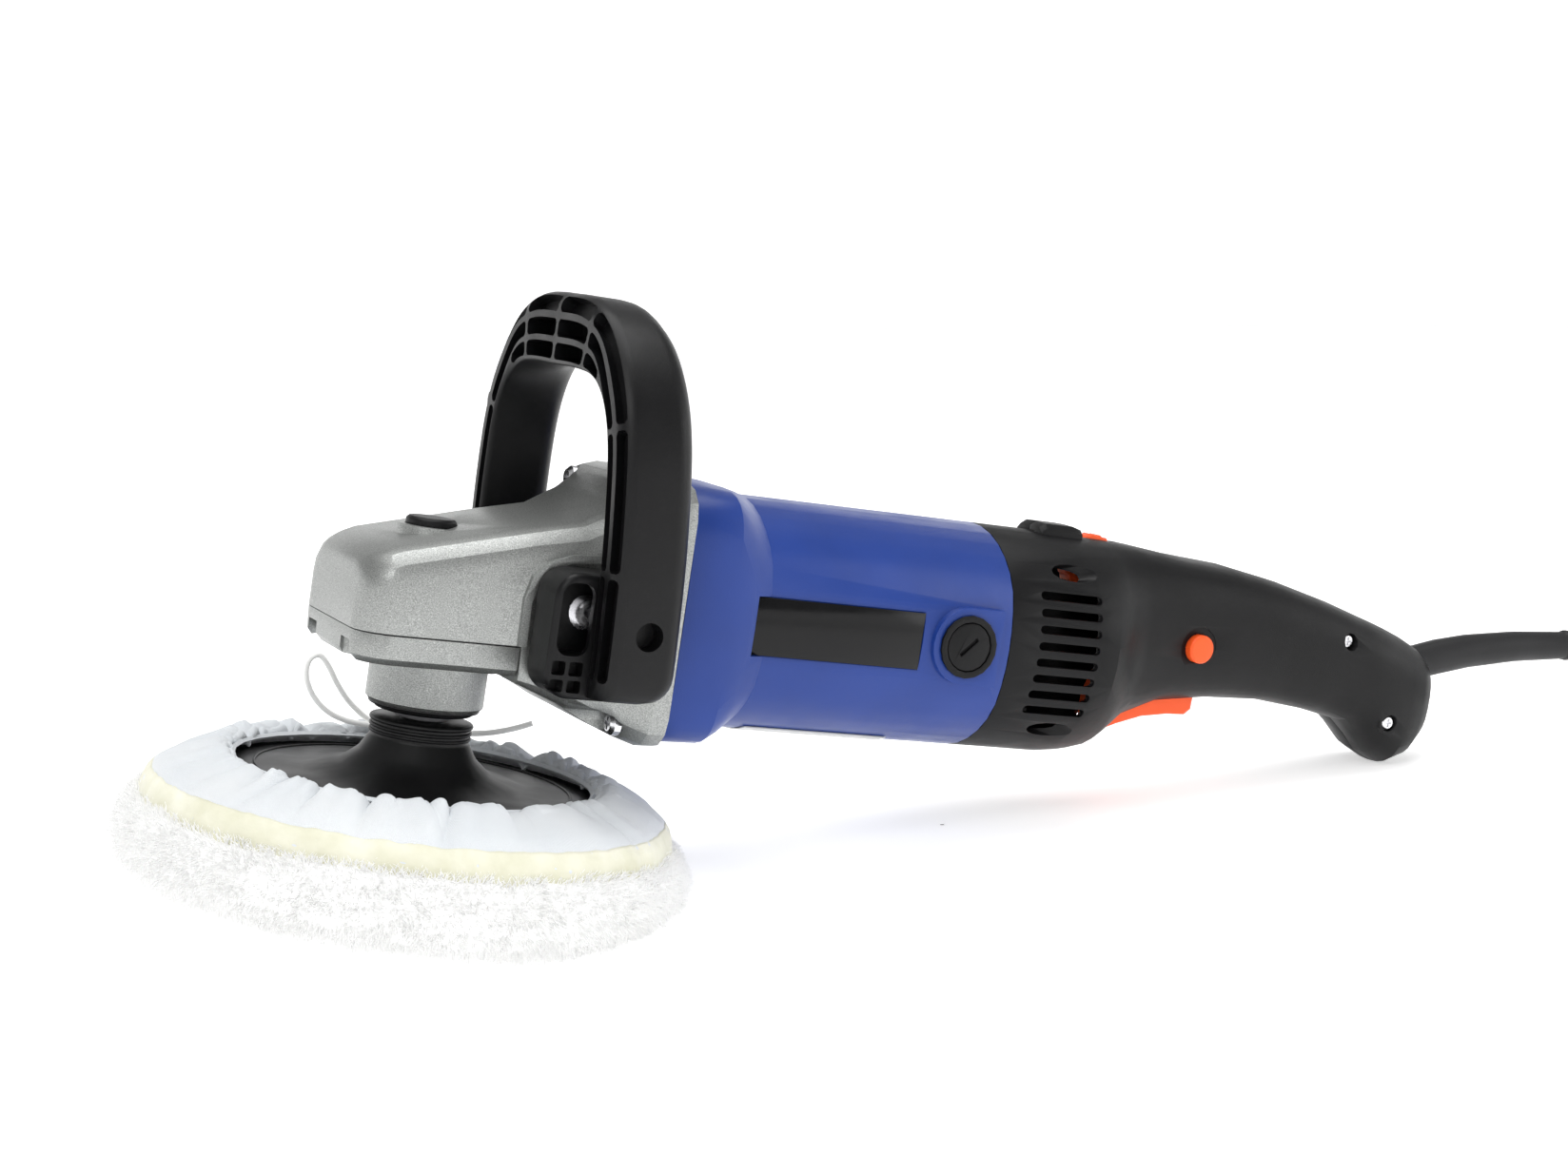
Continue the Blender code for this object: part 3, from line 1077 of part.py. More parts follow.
for old in list(bpy.data.objects):
    bpy.data.objects.remove(old)
machine = bpy.data.objects.new("machine", None)
bpy.context.scene.collection.objects.link(machine)
TILT = resting_tilt()
gear_housing()
gearbox_cover()
cover_screws()
flange_screws()
spindle()
crown_gear()
pinion()
armature()
fan()
stator()
motor_housing()
brush_gear()
plates()
rear_housing()
rear_screws()
controls()
front_handle()
backing_plate()
bonnet(TILT)
drawstring()
stand(TILT)
lead()
plug()
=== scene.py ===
"""Looks of the rotary polisher: camera and light, its free lead, materials, and the soft bonnet.

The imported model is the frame. Sizes that belong to the machine are taken from it: the machine's own
axes come from its spindle and motor joints, and places from the boxes of its nodes. Lengths are in
metres in the row's frame, and in millimetres in the machine's frame, where Z is the spindle's axis
and X runs along the motor.
"""
import bpy
import bmesh
import json
import random
from math import sin, cos, pi, radians, sqrt, atan2, hypot
from mathutils import Vector, Matrix, noise


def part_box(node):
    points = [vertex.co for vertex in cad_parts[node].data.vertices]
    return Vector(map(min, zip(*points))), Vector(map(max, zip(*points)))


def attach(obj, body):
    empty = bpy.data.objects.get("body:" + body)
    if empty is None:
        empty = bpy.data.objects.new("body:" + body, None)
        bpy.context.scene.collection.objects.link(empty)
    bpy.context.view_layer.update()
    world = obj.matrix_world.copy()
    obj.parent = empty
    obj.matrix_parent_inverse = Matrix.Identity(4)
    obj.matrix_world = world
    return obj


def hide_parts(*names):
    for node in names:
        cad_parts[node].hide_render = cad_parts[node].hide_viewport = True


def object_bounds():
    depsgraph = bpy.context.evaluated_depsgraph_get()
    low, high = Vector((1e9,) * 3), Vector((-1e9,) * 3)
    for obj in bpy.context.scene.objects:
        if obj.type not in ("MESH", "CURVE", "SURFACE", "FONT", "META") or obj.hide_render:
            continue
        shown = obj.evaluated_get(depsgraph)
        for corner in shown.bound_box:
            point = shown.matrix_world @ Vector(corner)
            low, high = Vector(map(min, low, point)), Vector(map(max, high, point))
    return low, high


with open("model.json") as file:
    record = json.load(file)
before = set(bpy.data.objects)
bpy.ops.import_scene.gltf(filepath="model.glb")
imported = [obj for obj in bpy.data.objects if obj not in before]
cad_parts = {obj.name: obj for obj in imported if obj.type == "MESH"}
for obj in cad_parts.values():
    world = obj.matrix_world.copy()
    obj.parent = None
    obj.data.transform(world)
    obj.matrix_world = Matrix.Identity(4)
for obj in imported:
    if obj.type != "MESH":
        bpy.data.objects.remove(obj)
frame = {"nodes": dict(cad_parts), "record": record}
CAD_BOX = [list(corner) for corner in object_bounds()]
NODES = frame["nodes"]
JOINTS = {joint["name"]: joint for joint in frame["record"]["behaviour"]["joints"]}
GROUND = CAD_BOX[0][2]
MM = 0.001
WOOL_RIM = 8200          # curls in each quarter of the bonnet's rim
WOOL_FACE = 2600
SPINDLE_MARK = 60.0      # height of the spindle joint's point in the machine's frame

# Camera
CAMERA_AT = (-0.4899, -0.8636, 0.2705)
CAMERA_AZIMUTH = -26.065
CAMERA_ELEVATION = 10.005
CAMERA_ROLL = 1.046       # degrees, anticlockwise
LENS = 59.59
SENSOR = 36.0

# Backdrop: where the brighter paper starts, where the wall starts to rise, and its height
NEAR = 2.6
FAR = 11.0
WALL = 5.0

# Lead: the route is the CAD's, then the coil's turns, then the tail to the plug
LEAD_R = 0.0035
LEAD_POINTS = (
    (0.3206, 0.0, 0.0385), (0.3300, 0.0, 0.0378), (0.3400, 0.0, 0.0366), (0.3500, 0.0, 0.0347),
    (0.3600, 0.0, 0.0318), (0.3700, 0.0, 0.0279), (0.3800, 0.0, 0.0233), (0.3900, 0.0, 0.0185),
    (0.4000, 0.0, 0.0140), (0.4100, 0.0, 0.0101), (0.4200, 0.0, 0.0071), (0.4300, 0.0, 0.0049),
)
COIL_CENTRE = (0.440, -0.060)
COIL_MID_R = 0.042
COIL_ACROSS = 4
COIL_STEPS = 40          # points in a turn


# ---------------------------------------------------------------- the machine's own frame

def machine_frame():
    """The matrix from the machine's millimetres to the row's metres."""
    up = Vector(JOINTS["spindle_spin"]["axis"]).normalized()
    along = Vector(JOINTS["armature_spin"]["axis"]).normalized()
    across = up.cross(along)
    origin = Vector(JOINTS["spindle_spin"]["pos_m"]) - up * SPINDLE_MARK * MM
    turn = Matrix((along, across, up)).transposed()
    return Matrix.Translation(origin) @ turn.to_4x4() @ Matrix.Scale(MM, 4)


MACHINE = machine_frame()


def at(x, y, z):
    """A point of the machine's frame, in the row's frame."""
    return MACHINE @ Vector((x, y, z))


# ---------------------------------------------------------------- camera, light and floor

def camera():
    a, e, r = radians(CAMERA_AZIMUTH), radians(CAMERA_ELEVATION), radians(CAMERA_ROLL)
    back = Vector((sin(a) * cos(e), -cos(a) * cos(e), sin(e)))
    level = Vector((cos(a), sin(a), 0.0))
    up = back.cross(level)
    right = level * cos(r) - up * sin(r)
    made = bpy.data.objects.new("camera", bpy.data.cameras.new("camera"))
    made.data.lens = LENS
    made.data.sensor_width = SENSOR
    turn = Matrix((right, back.cross(right), back)).transposed()
    made.matrix_world = Matrix.Translation(CAMERA_AT) @ turn.to_4x4()
    bpy.context.scene.collection.objects.link(made)
    bpy.context.scene.camera = made


def area_light(name, place, aim, size, power, spread=180.0):
    light = bpy.data.lights.new(name, "AREA")
    light.shape = "RECTANGLE"
    light.size, light.size_y = size
    light.energy = power
    light.spread = radians(spread)
    lamp = bpy.data.objects.new(name, light)
    bpy.context.scene.collection.objects.link(lamp)
    lamp.location = place
    lamp.rotation_euler = (Vector(aim) - Vector(place)).to_track_quat("-Z", "Y").to_euler()


def studio():
    world = bpy.data.worlds.new("studio")
    world.use_nodes = True
    world.node_tree.nodes["Background"].inputs["Color"].default_value = (1.0, 1.0, 1.0, 1.0)
    world.node_tree.nodes["Background"].inputs["Strength"].default_value = 0.34
    bpy.context.scene.world = world
    area_light("key", (-0.9, -1.1, 1.6), (0.0, 0.0, 0.08), (1.1, 0.9), 12)
    area_light("top", (0.1, 0.2, 1.7), (0.0, 0.0, 0.05), (1.6, 1.2), 21)
    area_light("side", (1.5, -0.7, 0.7), (0.0, 0.0, 0.08), (0.8, 1.0), 3.5)
    backdrop()
    bpy.context.scene.view_settings.view_transform = "Standard"


def backdrop():
    """A round pale floor that curves up into a low wall far away on every side."""
    ground = GROUND - 0.0002
    rise = [(FAR + WALL * sin(a), WALL * (1 - cos(a))) for a in [pi / 2 * i / 12 for i in range(13)]]
    stretches = (("floor", 0.47, [(0.001, 0.0), (1.2, 0.0), (NEAR, 0.0)]), ("wall", 0.74, [(NEAR, 0.0)] + rise))
    for name, glow, line in stretches:
        points = [(r * cos(a), r * sin(a), z + ground) for r, z in line for a in [2 * pi * j / 96 for j in range(96)]]
        stretch = grid_mesh(name, points, len(line), 96)
        paper = Look(name + "_paper", (0.97, 0.97, 0.97), 0.8)
        paper.set("Emission Color", (1.0, 1.0, 1.0, 1.0))
        paper.set("Emission Strength", glow)
        stretch.data.materials.append(paper.material)


# ---------------------------------------------------------------- materials

class Look:
    """A Principled material and the few nodes that its texture is made of."""

    def __init__(self, name, colour, roughness, metallic=0.0):
        self.material = bpy.data.materials.new(name)
        self.material.use_nodes = True
        self.tree = self.material.node_tree
        self.shader = self.tree.nodes["Principled BSDF"]
        self.set("Base Color", (*colour, 1.0))
        self.set("Roughness", roughness)
        self.set("Metallic", metallic)
        self.place = self.add("ShaderNodeTexCoord").outputs["Object"]

    def set(self, socket, value):
        self.shader.inputs[socket].default_value = value

    def add(self, kind, **values):
        node = self.tree.nodes.new(kind)
        for name, value in values.items():
            node.inputs[name.replace("_", " ")].default_value = value
        return node

    def link(self, output, target):
        self.tree.links.new(output, target)

    def noise(self, scale, detail=3.0, roughness=0.5):
        node = self.add("ShaderNodeTexNoise", Scale=scale, Detail=detail, Roughness=roughness)
        self.link(self.place, node.inputs["Vector"])
        return node.outputs["Fac"]

    def cells(self, scale):
        node = self.add("ShaderNodeTexVoronoi", Scale=scale)
        self.link(self.place, node.inputs["Vector"])
        return node.outputs["Distance"]

    def ramp(self, value, stops):
        """A colour ramp: stops are (place, colour or grey)."""
        node = self.tree.nodes.new("ShaderNodeValToRGB")
        band = node.color_ramp
        while len(band.elements) < len(stops):
            band.elements.new(0.5)
        for element, (place, colour) in zip(band.elements, stops):
            element.position = place
            element.color = (*(colour if isinstance(colour, tuple) else (colour,) * 3), 1.0)
        self.link(value, node.inputs["Fac"])
        return node.outputs["Color"]

    def colour_by(self, value, stops):
        self.link(self.ramp(value, stops), self.shader.inputs["Base Color"])

    def roughness_by(self, value, stops):
        self.link(self.ramp(value, stops), self.shader.inputs["Roughness"])

    def bump(self, *layers):
        """Layers are (value, depth in metres)."""
        normal = None
        for value, depth in layers:
            node = self.add("ShaderNodeBump", Strength=1.0, Distance=depth)
            self.link(value, node.inputs["Height"])
            if normal:
                self.link(normal, node.inputs["Normal"])
            normal = node.outputs["Normal"]
        self.link(normal, self.shader.inputs["Normal"])


def plain(name, colour, roughness):
    return Look(name, colour, roughness).material


def moulded(name, colour, roughness, grain=0.00006, tone=0.12, specular=0.32):
    """Moulded plastic with a fine spark-eroded grain and slight clouding."""
    look = Look(name, colour, roughness)
    cloud = look.noise(35.0, 4.0)
    look.colour_by(cloud, ((0.3, tuple(c * (1 - tone) for c in colour)), (0.7, tuple(min(1, c * (1 + tone)) for c in colour))))
    look.roughness_by(look.noise(60.0, 5.0), ((0.3, roughness - 0.06), (0.7, roughness + 0.06)))
    look.bump((look.noise(2600.0, 2.0), grain), (look.noise(700.0, 3.0), grain / 2))
    look.set("Specular IOR Level", specular)
    return look.material


def cast_alloy():
    """Die-cast housing in silver paint with a sparkle of dark and bright flakes."""
    look = Look("cast_alloy", (0.34, 0.35, 0.335), 0.42, 0.82)
    fine = look.noise(2600.0, 2.0, 0.7)
    look.colour_by(fine, ((0.30, (0.20, 0.205, 0.20)), (0.46, (0.31, 0.32, 0.31)), (0.60, (0.38, 0.39, 0.38)),
                          (0.76, (0.62, 0.63, 0.62))))
    look.roughness_by(fine, ((0.3, 0.46), (0.7, 0.32)))
    look.bump((fine, 0.00003), (look.noise(160.0, 3.0), 0.0001))
    return look.material


def metal(name, colour, roughness, scratch=0.00002):
    look = Look(name, colour, roughness, 1.0)
    look.roughness_by(look.noise(300.0, 4.0), ((0.3, roughness * 0.8), (0.7, roughness * 1.3)))
    look.bump((look.noise(1800.0, 2.0), scratch))
    return look.material


def woven_cotton():
    """Bluish white cotton in a plain weave of about 0.5 mm."""
    look = Look("cotton", (0.66, 0.70, 0.74), 0.85)
    look.colour_by(look.noise(25.0, 4.0), ((0.3, (0.71, 0.745, 0.78)), (0.7, (0.79, 0.815, 0.835))))
    waves = []
    for direction in ("X", "Y"):
        wave = look.add("ShaderNodeTexWave", Scale=600.0, Distortion=1.2, Detail=1.0)
        wave.bands_direction = direction
        look.link(look.place, wave.inputs["Vector"])
        waves.append((wave.outputs["Fac"], 0.00008))
    look.bump(*waves, (look.noise(260.0, 3.0), 0.0001))
    look.set("Sheen Weight", 0.25)
    look.set("Sheen Roughness", 0.5)
    return look.material


def wool():
    look = Look("wool", (0.97, 0.97, 0.965), 0.95)
    look.colour_by(look.noise(55.0, 3.0), ((0.3, (0.94, 0.94, 0.93)), (0.7, (0.99, 0.99, 0.985))))
    look.bump((look.noise(900.0, 3.0), 0.0002))
    look.set("Sheen Weight", 0.5)
    look.set("Subsurface Weight", 0.5)
    look.set("Subsurface Radius", (0.004, 0.004, 0.004))
    look.set("Subsurface Scale", 1.0)
    # painted light: a faint white glow brightens the wool where its curls shade each other
    look.set("Emission Color", (1.0, 1.0, 1.0, 1.0))
    look.set("Emission Strength", 0.15)
    return look.material


def knitted_tape():
    """Cream cotton tape; its ribs running down are not drawn, only a fine noisy bump."""
    look = Look("tape", (0.78, 0.77, 0.62), 0.9)
    look.colour_by(look.noise(70.0, 4.0), ((0.3, (0.70, 0.69, 0.53)), (0.7, (0.84, 0.83, 0.70))))
    look.bump((look.noise(1100.0, 3.0), 0.00012), (look.noise(300.0, 3.0), 0.0002))
    look.set("Sheen Weight", 0.3)
    return look.material


def twisted_string():
    look = Look("string", (0.90, 0.90, 0.88), 0.85)
    # painted light: a faint white glow brightens the string as though more light reached it
    look.set("Emission Color", (1.0, 1.0, 1.0, 1.0))
    look.set("Emission Strength", 0.12)
    look.bump((look.noise(1500.0, 3.0), 0.0001))
    look.set("Subsurface Weight", 0.3)
    look.set("Subsurface Radius", (0.002, 0.002, 0.002))
    return look.material


def materials():
    """Every look by name."""
    return {
        "casting": cast_alloy(),
        "blue": moulded("blue_plastic", (0.013, 0.043, 0.235), 0.34, 0.00004, 0.06),
        "black": moulded("black_plastic", (0.005, 0.005, 0.0055), 0.42, specular=0.2),
        "grip": moulded("grip_plastic", (0.0035, 0.0035, 0.004), 0.38, 0.00005, specular=0.24),
        "orange": moulded("orange_plastic", (0.95, 0.105, 0.018), 0.38, 0.00003, 0.04),
        "plate": moulded("plate_plastic", (0.006, 0.006, 0.0065), 0.40, 0.00003),
        "steel": metal("steel", (0.55, 0.55, 0.56), 0.32),
        "bright": metal("zinc", (0.78, 0.78, 0.80), 0.22),
        # painted shade: the spindle's steel is darkened to stand for the shade in the gap under the neck
        "dark": metal("steel_darkened_as_shade", (0.10, 0.10, 0.105), 0.35),
        "copper": metal("copper", (0.72, 0.28, 0.12), 0.35),
        "brass": metal("brass", (0.78, 0.57, 0.22), 0.3),
        "label": moulded("label", (0.004, 0.004, 0.0045), 0.16, 0.00001, 0.02, specular=0.25),
        "rating": metal("foil", (0.62, 0.62, 0.60), 0.4),
        "carbon": moulded("carbon", (0.03, 0.03, 0.03), 0.8),
        "cloth": woven_cotton(),
        "wool": wool(),
        "band": knitted_tape(),
        "string": twisted_string(),
        "lead": moulded("rubber", (0.013, 0.013, 0.014), 0.5, 0.00005),
    }


NODE_LOOKS = {
    "gear_housing": "casting", "gearbox_cover": "casting", "motor_housing": "blue", "d_handle": "grip",
    "backing_plate": "plate", "trigger": "orange", "lock_on_button": "orange", "speed_dial": "orange",
    # the spindle takes the steel that is darkened as painted shade
    "spindle": "dark", "armature_shaft": "bright", "commutator": "copper", "spindle_bush": "brass",
    "rating_plate": "rating", "strain_relief": "lead", "plug": "lead", "fan": "black", "lock_button": "black",
    "switch_body": "black", "drawstring": "cloth",
}
NODE_PREFIX_LOOKS = {
    "rear_housing": "black", "brush_holder": "black", "brush_cap": "black", "name_plate": "label",
    "carbon_brush": "carbon", "field_coil": "copper", "armature_winding": "copper", "cover_screw": "bright",
    "flange_screw": "bright", "handle_bolt": "bright", "rear_screw": "bright", "handle_screw": "bright",
}
BEVELS = {
    "gear_housing": 0.0009, "gearbox_cover": 0.0006, "motor_housing": 0.0007, "rear_housing_near": 0.0006,
    "rear_housing_far": 0.0006, "d_handle": 0.0007, "trigger": 0.0006, "lock_on_button": 0.0005,
    "lock_button": 0.0006, "brush_cap_near": 0.0004, "brush_cap_far": 0.0004, "name_plate_near": 0.0002,
    "name_plate_far": 0.0002, "backing_plate": 0.0006, "strain_relief": 0.0006, "plug": 0.0006, "speed_dial": 0.0003,
    "brush_holder_near": 0.0003, "brush_holder_far": 0.0003,
}


def node_look(name):
    if name in NODE_LOOKS:
        return NODE_LOOKS[name]
    for prefix, look in NODE_PREFIX_LOOKS.items():
        if name.startswith(prefix):
            return look
    return "steel"


def dress_nodes(looks):
    for name, node in NODES.items():
        node.data.materials.clear()
        node.data.materials.append(looks[node_look(name)])
        smooth_by_angle(node, BEVELS.get(name, 0.0))


def smooth_by_angle(node, edge):
    """Joins the facets of a CAD node, rounds its edges and shades it smooth between them."""
    stored = node.data.attributes.get("custom_normal")
    if stored:
        node.data.attributes.remove(stored)
    node.data.shade_smooth()
    weld = node.modifiers.new("joined", "WELD")
    weld.merge_threshold = 0.00002
    if edge:
        bevel = node.modifiers.new("edges", "BEVEL")
        bevel.width = edge
        bevel.segments = 2
        bevel.limit_method = "ANGLE"
        bevel.angle_limit = radians(26)
    split = node.modifiers.new("corners", "EDGE_SPLIT")
    split.split_angle = radians(38 if edge else 28)


# ---------------------------------------------------------------- lead

def coil_route():
    """From the end of the CAD's route round the flat coil: inwards below, outwards on top."""
    pitch = 2 * LEAD_R
    outer = COIL_MID_R + (COIL_ACROSS - 1) / 2 * pitch
    radii = [outer - k * pitch for k in range(COIL_ACROSS)]
    turns = [(r, LEAD_R + 0.0003) for r in radii] + [(r, LEAD_R + 0.0003 + pitch) for r in reversed(radii)]
    start = (outer + pitch + 0.0005, LEAD_R + 0.0006)
    points = []
    cx, cy = COIL_CENTRE
    last = start
    for number, (r, z) in enumerate(turns):
        for i in range(COIL_STEPS):
            share = i / COIL_STEPS
            ease = min(1.0, share / (0.5 if number == 0 else 0.42))
            ease = ease * ease * (3 - 2 * ease)
            radius = last[0] + (r - last[0]) * ease
            height = last[1] + (z - last[1]) * ease
            a = pi / 2 - 2 * pi * share
            points.append((cx + radius * cos(a), cy + radius * sin(a), height))
        last = (r, z)
    return points, last


def bezier(a, b, c, d, steps):
    points = []
    for i in range(1, steps + 1):
        t = i / steps
        points.append(tuple(Vector(a) * (1 - t) ** 3 + Vector(b) * 3 * t * (1 - t) ** 2
                            + Vector(c) * 3 * t * t * (1 - t) + Vector(d) * t ** 3))
    return points


def lead(looks):
    coiled, (radius, height) = coil_route()
    cx, cy = COIL_CENTRE
    low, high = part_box("plug")
    entry = Vector(((low[0] + high[0]) / 2, high[1] + 0.0002, (low[2] + high[2]) / 2))
    leave = radians(62)
    tail_turn = [(cx + radius * cos(pi / 2 - a), cy + radius * sin(pi / 2 - a), height)
                 for a in [(pi / 2 - leave) * i / 5 for i in range(6)]]
    start = Vector(tail_turn[-1])
    heading = Vector((sin(leave), -cos(leave), -0.03))
    tail = bezier(start, start + heading * 0.045, entry + Vector((0.0, 0.042, 0.0)), entry, 14)
    route = list(LEAD_POINTS) + coiled + tail_turn + tail
    curve = bpy.data.curves.new("lead", "CURVE")
    curve.dimensions = "3D"
    curve.bevel_depth = LEAD_R
    curve.bevel_resolution = 4
    curve.use_fill_caps = True
    spline = curve.splines.new("POLY")
    spline.points.add(len(route) - 1)
    for point, place in zip(spline.points, route):
        point.co = (*place, 1.0)
    piece = bpy.data.objects.new("lead", curve)
    curve.materials.append(looks["lead"])
    bpy.context.scene.collection.objects.link(piece)
    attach(piece, "machine")
    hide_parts("cord_lead", "cord_coil")


# ---------------------------------------------------------------- small turned details

# Rings on turned parts: name, body, look, radius, height, and the ring's own radius
BEADS = (
    ("hub_ring_top", "spindle_assembly", "plate", 17.6, 56.6, 0.9), ("hub_ring_middle", "spindle_assembly", "plate", 17.6, 54.2, 0.7),
    ("hub_ring_low", "spindle_assembly", "plate", 17.6, 52.2, 0.6), ("plate_line", "spindle_assembly", "plate", 56.0, 35.9, 0.45),
    ("neck_seal", "machine", "plate", 16.4, 61.9, 1.5), ("neck_seal_outer", "machine", "plate", 19.0, 62.6, 0.8),
)


def beads(looks):
    """Turned rings on the hub and plate, and the seal under the neck."""
    columns, sides = 128, 12
    for name, body, look, radius, height, small in BEADS:
        points = []
        for i in range(sides + 1):
            b = 2 * pi * i / sides
            r, z = radius + small * cos(b), height + small * sin(b)
            points += [at(r * cos(a), r * sin(a), z) for a in [2 * pi * j / columns for j in range(columns)]]
        piece = grid_mesh(name, points, sides + 1, columns)
        weld = piece.modifiers.new("closed", "WELD")
        weld.merge_threshold = 0.00001
        piece.data.materials.append(looks[look])
        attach(piece, body)


# ---------------------------------------------------------------- D-handle

# Sizes of the loop in the machine's millimetres, the same as the frame's
GRIP_OUTER = ((71.5, 79.0), (73.5, 95.0), (74.5, 125.0), (73.0, 148.0), (70.0, 166.0), (64.5, 181.5),
              (55.0, 195.5), (42.0, 206.5), (24.0, 213.0), (0.0, 214.0))
GRIP_INNER = ((58.0, 79.0), (60.0, 95.0), (60.0, 125.0), (58.0, 148.0), (55.5, 163.0), (51.0, 174.0),
              (44.0, 182.0), (34.5, 186.5), (20.0, 188.0), (0.0, 188.0))
GRIP_DEEP = 28.0
GRIP_LEAN = 2.6
GRIP_FOOT = (35.5, 77.5)         # front of the bar at its foot, and the foot's height
FOOT_Y = (41.5, 60.0)
FOOT_X = (20.0, 53.0)
FOOT_Z = (77.5, 121.0)
BOLT_SEAT = 47.5
BOLT_AT = (35.5, 106.5)
POCKET_Z = (92.5, 117.5)
SMALL_POCKETS_X = ((21.6, 26.4), (27.8, 32.8))
SMALL_POCKETS_Z = ((79.9, 84.2), (85.7, 90.6))
LEG_HOLE = (49.4, 103.0)
SLOT_DEEP = 8.5
OUTER_DEEP = 4.2
OUTER_TILT = 25.0        # degrees that the outer row faces outwards
OUTER_ROUND = 6.0
FOOT_ROUND = 10.0
# The slots of each row: from and to, in mm along the bar from its crown
SLOT_SPANS = ((1.1, 29.0), (31.0, 73.5), (75.5, 122.5), (124.5, 160.0))
# Each row's edges as shares of the bar's width, at the crown and on the leg
SLOT_ROWS = (((0.71, 0.945), (0.60, 0.93)), ((0.375, 0.62), (0.12, 0.42)))
INNER_ROW = ((0.065, 0.295), (0.0, 0.12))
INNER_ROW_SPANS = ((1.1, 29.0), (31.0, 47.0))


def eased(line, steps):
    """A cubic line through the points of half the loop, level at the crown."""
    points = [line[0]] + list(line) + [(-line[-2][0], line[-2][1])]
    made = []
    for a, b, c, d in zip(points, points[1:], points[2:], points[3:]):
        for i in range(steps):
            t = i / steps
            made.append(tuple(0.5 * (2 * q + (r - p) * t + (2 * p - 5 * q + 4 * r - s) * t ** 2
                                     + (3 * q - p - 3 * r + s) * t ** 3) for p, q, r, s in zip(a, b, c, d)))
    return made + [line[-1]]


def grip_half(steps=8):
    """Inner and outer points of half the loop from the crown to the foot, with their distance along it."""
    pairs = list(reversed(list(zip(eased(GRIP_INNER, steps), eased(GRIP_OUTER, steps)))))
    along, last, made = 0.0, None, []
    for inner, outer in pairs:
        middle = ((inner[0] + outer[0]) / 2, (inner[1] + outer[1]) / 2)
        if last:
            along += hypot(middle[0] - last[0], middle[1] - last[1])
        last = middle
        made.append((along, inner, outer))
    return made


GRIP_HALF = grip_half()


def grip_at(along):
    """Inner and outer points at a distance from the crown."""
    for (a, p, q), (b, r, s) in zip(GRIP_HALF, GRIP_HALF[1:]):
        if along <= b:
            k = (along - a) / (b - a)
            return tuple(x + (y - x) * k for x, y in zip(p, r)), tuple(x + (y - x) * k for x, y in zip(q, s))
    return GRIP_HALF[-1][1:]


def grip_front(z):
    return GRIP_FOOT[0] - (z - GRIP_FOOT[1]) * sin(radians(GRIP_LEAN))


def rounded_foot(along, inner, outer):
    """The bar's section near its foot, drawn in as its end is rounded."""
    share = min(1.0, max(0.0, (along - GRIP_HALF[-1][0] + FOOT_ROUND) / FOOT_ROUND))
    drawn = 1 - sqrt(1 - share * share)
    k = 1 - 0.30 * drawn
    outer = tuple(p + (q - p) * k for p, q in zip(inner, outer))
    return inner, outer, 9.0 * drawn


def grip_loop(inner, outer, drawn, front_round=2.2, rear_round=11.0, arc=7):
    """One section of the bar: small radii in front and large ones behind."""
    side = 1
    wide = hypot(outer[0] - inner[0], outer[1] - inner[1])
    dy, dz = (outer[0] - inner[0]) / wide, (outer[1] - inner[1]) / wide
    front = grip_front((inner[1] + outer[1]) / 2)
    rear = front + GRIP_DEEP - drawn
    corners = ((rear, wide, min(rear_round, wide / 2 - 0.3)), (front, wide, OUTER_ROUND), (front, 0.0, front_round),
               (rear, 0.0, min(rear_round, wide / 2 - 0.3)))
    points = []
    for quarter, (x, across, radius) in enumerate(corners):
        cx = x - radius if x == rear else x + radius
        cv = across - radius if across else radius
        for i in range(arc + 1):
            a = (quarter + i / arc) * pi / 2
            u, v = cx + radius * cos(a), cv + radius * sin(a)
            points.append((u, side * (inner[0] + v * dy), inner[1] + v * dz))
    return points


def skin_mesh(name, loops):
    """A closed skin over a row of loops, with flat ends."""
    count = len(loops[0])
    vertices = [point for loop in loops for point in loop]
    faces = [tuple(reversed(range(count))), tuple(range(len(vertices) - count, len(vertices)))]
    for k in range(len(loops) - 1):
        for i in range(count):
            j = (i + 1) % count
            faces.append((k * count + i, k * count + j, (k + 1) * count + j, (k + 1) * count + i))
    mesh = bpy.data.meshes.new(name)
    mesh.from_pydata(vertices, [], faces)
    tidy = bmesh.new()
    tidy.from_mesh(mesh)
    bmesh.ops.recalc_face_normals(tidy, faces=tidy.faces)
    tidy.to_mesh(mesh)
    tidy.free()
    return mesh


def rounded_outline(low, high, radius, arc=6):
    """A rectangle in X and Z with rounded corners."""
    (x0, z0), (x1, z1) = low, high
    centres = ((x1 - radius, z1 - radius), (x0 + radius, z1 - radius), (x0 + radius, z0 + radius),
               (x1 - radius, z0 + radius))
    return [(cx + radius * cos(a), cz + radius * sin(a)) for quarter, (cx, cz) in enumerate(centres)
            for a in [(quarter + i / arc) * pi / 2 for i in range(arc + 1)]]


def slab(outline, low, high, side, edge=0.0):
    """A plate of an outline in X and Z between two distances from the middle, its outer edge rounded."""
    cx = sum(x for x, z in outline) / len(outline)
    cz = sum(z for x, z in outline) / len(outline)
    layers = [(low, 0.0), (high - edge, 0.0)]
    layers += [(high - edge + edge * sin(a), edge * (1 - cos(a))) for a in (pi / 8, pi / 4, 3 * pi / 8, pi / 2)] if edge else []
    loops = []
    for y, inset in layers:
        loops.append([(x + (cx - x) / max(hypot(x - cx, z - cz), 0.1) * inset, side * y,
                       z + (cz - z) / max(hypot(x - cx, z - cz), 0.1) * inset) for x, z in outline])
    return skin_mesh("slab", loops)


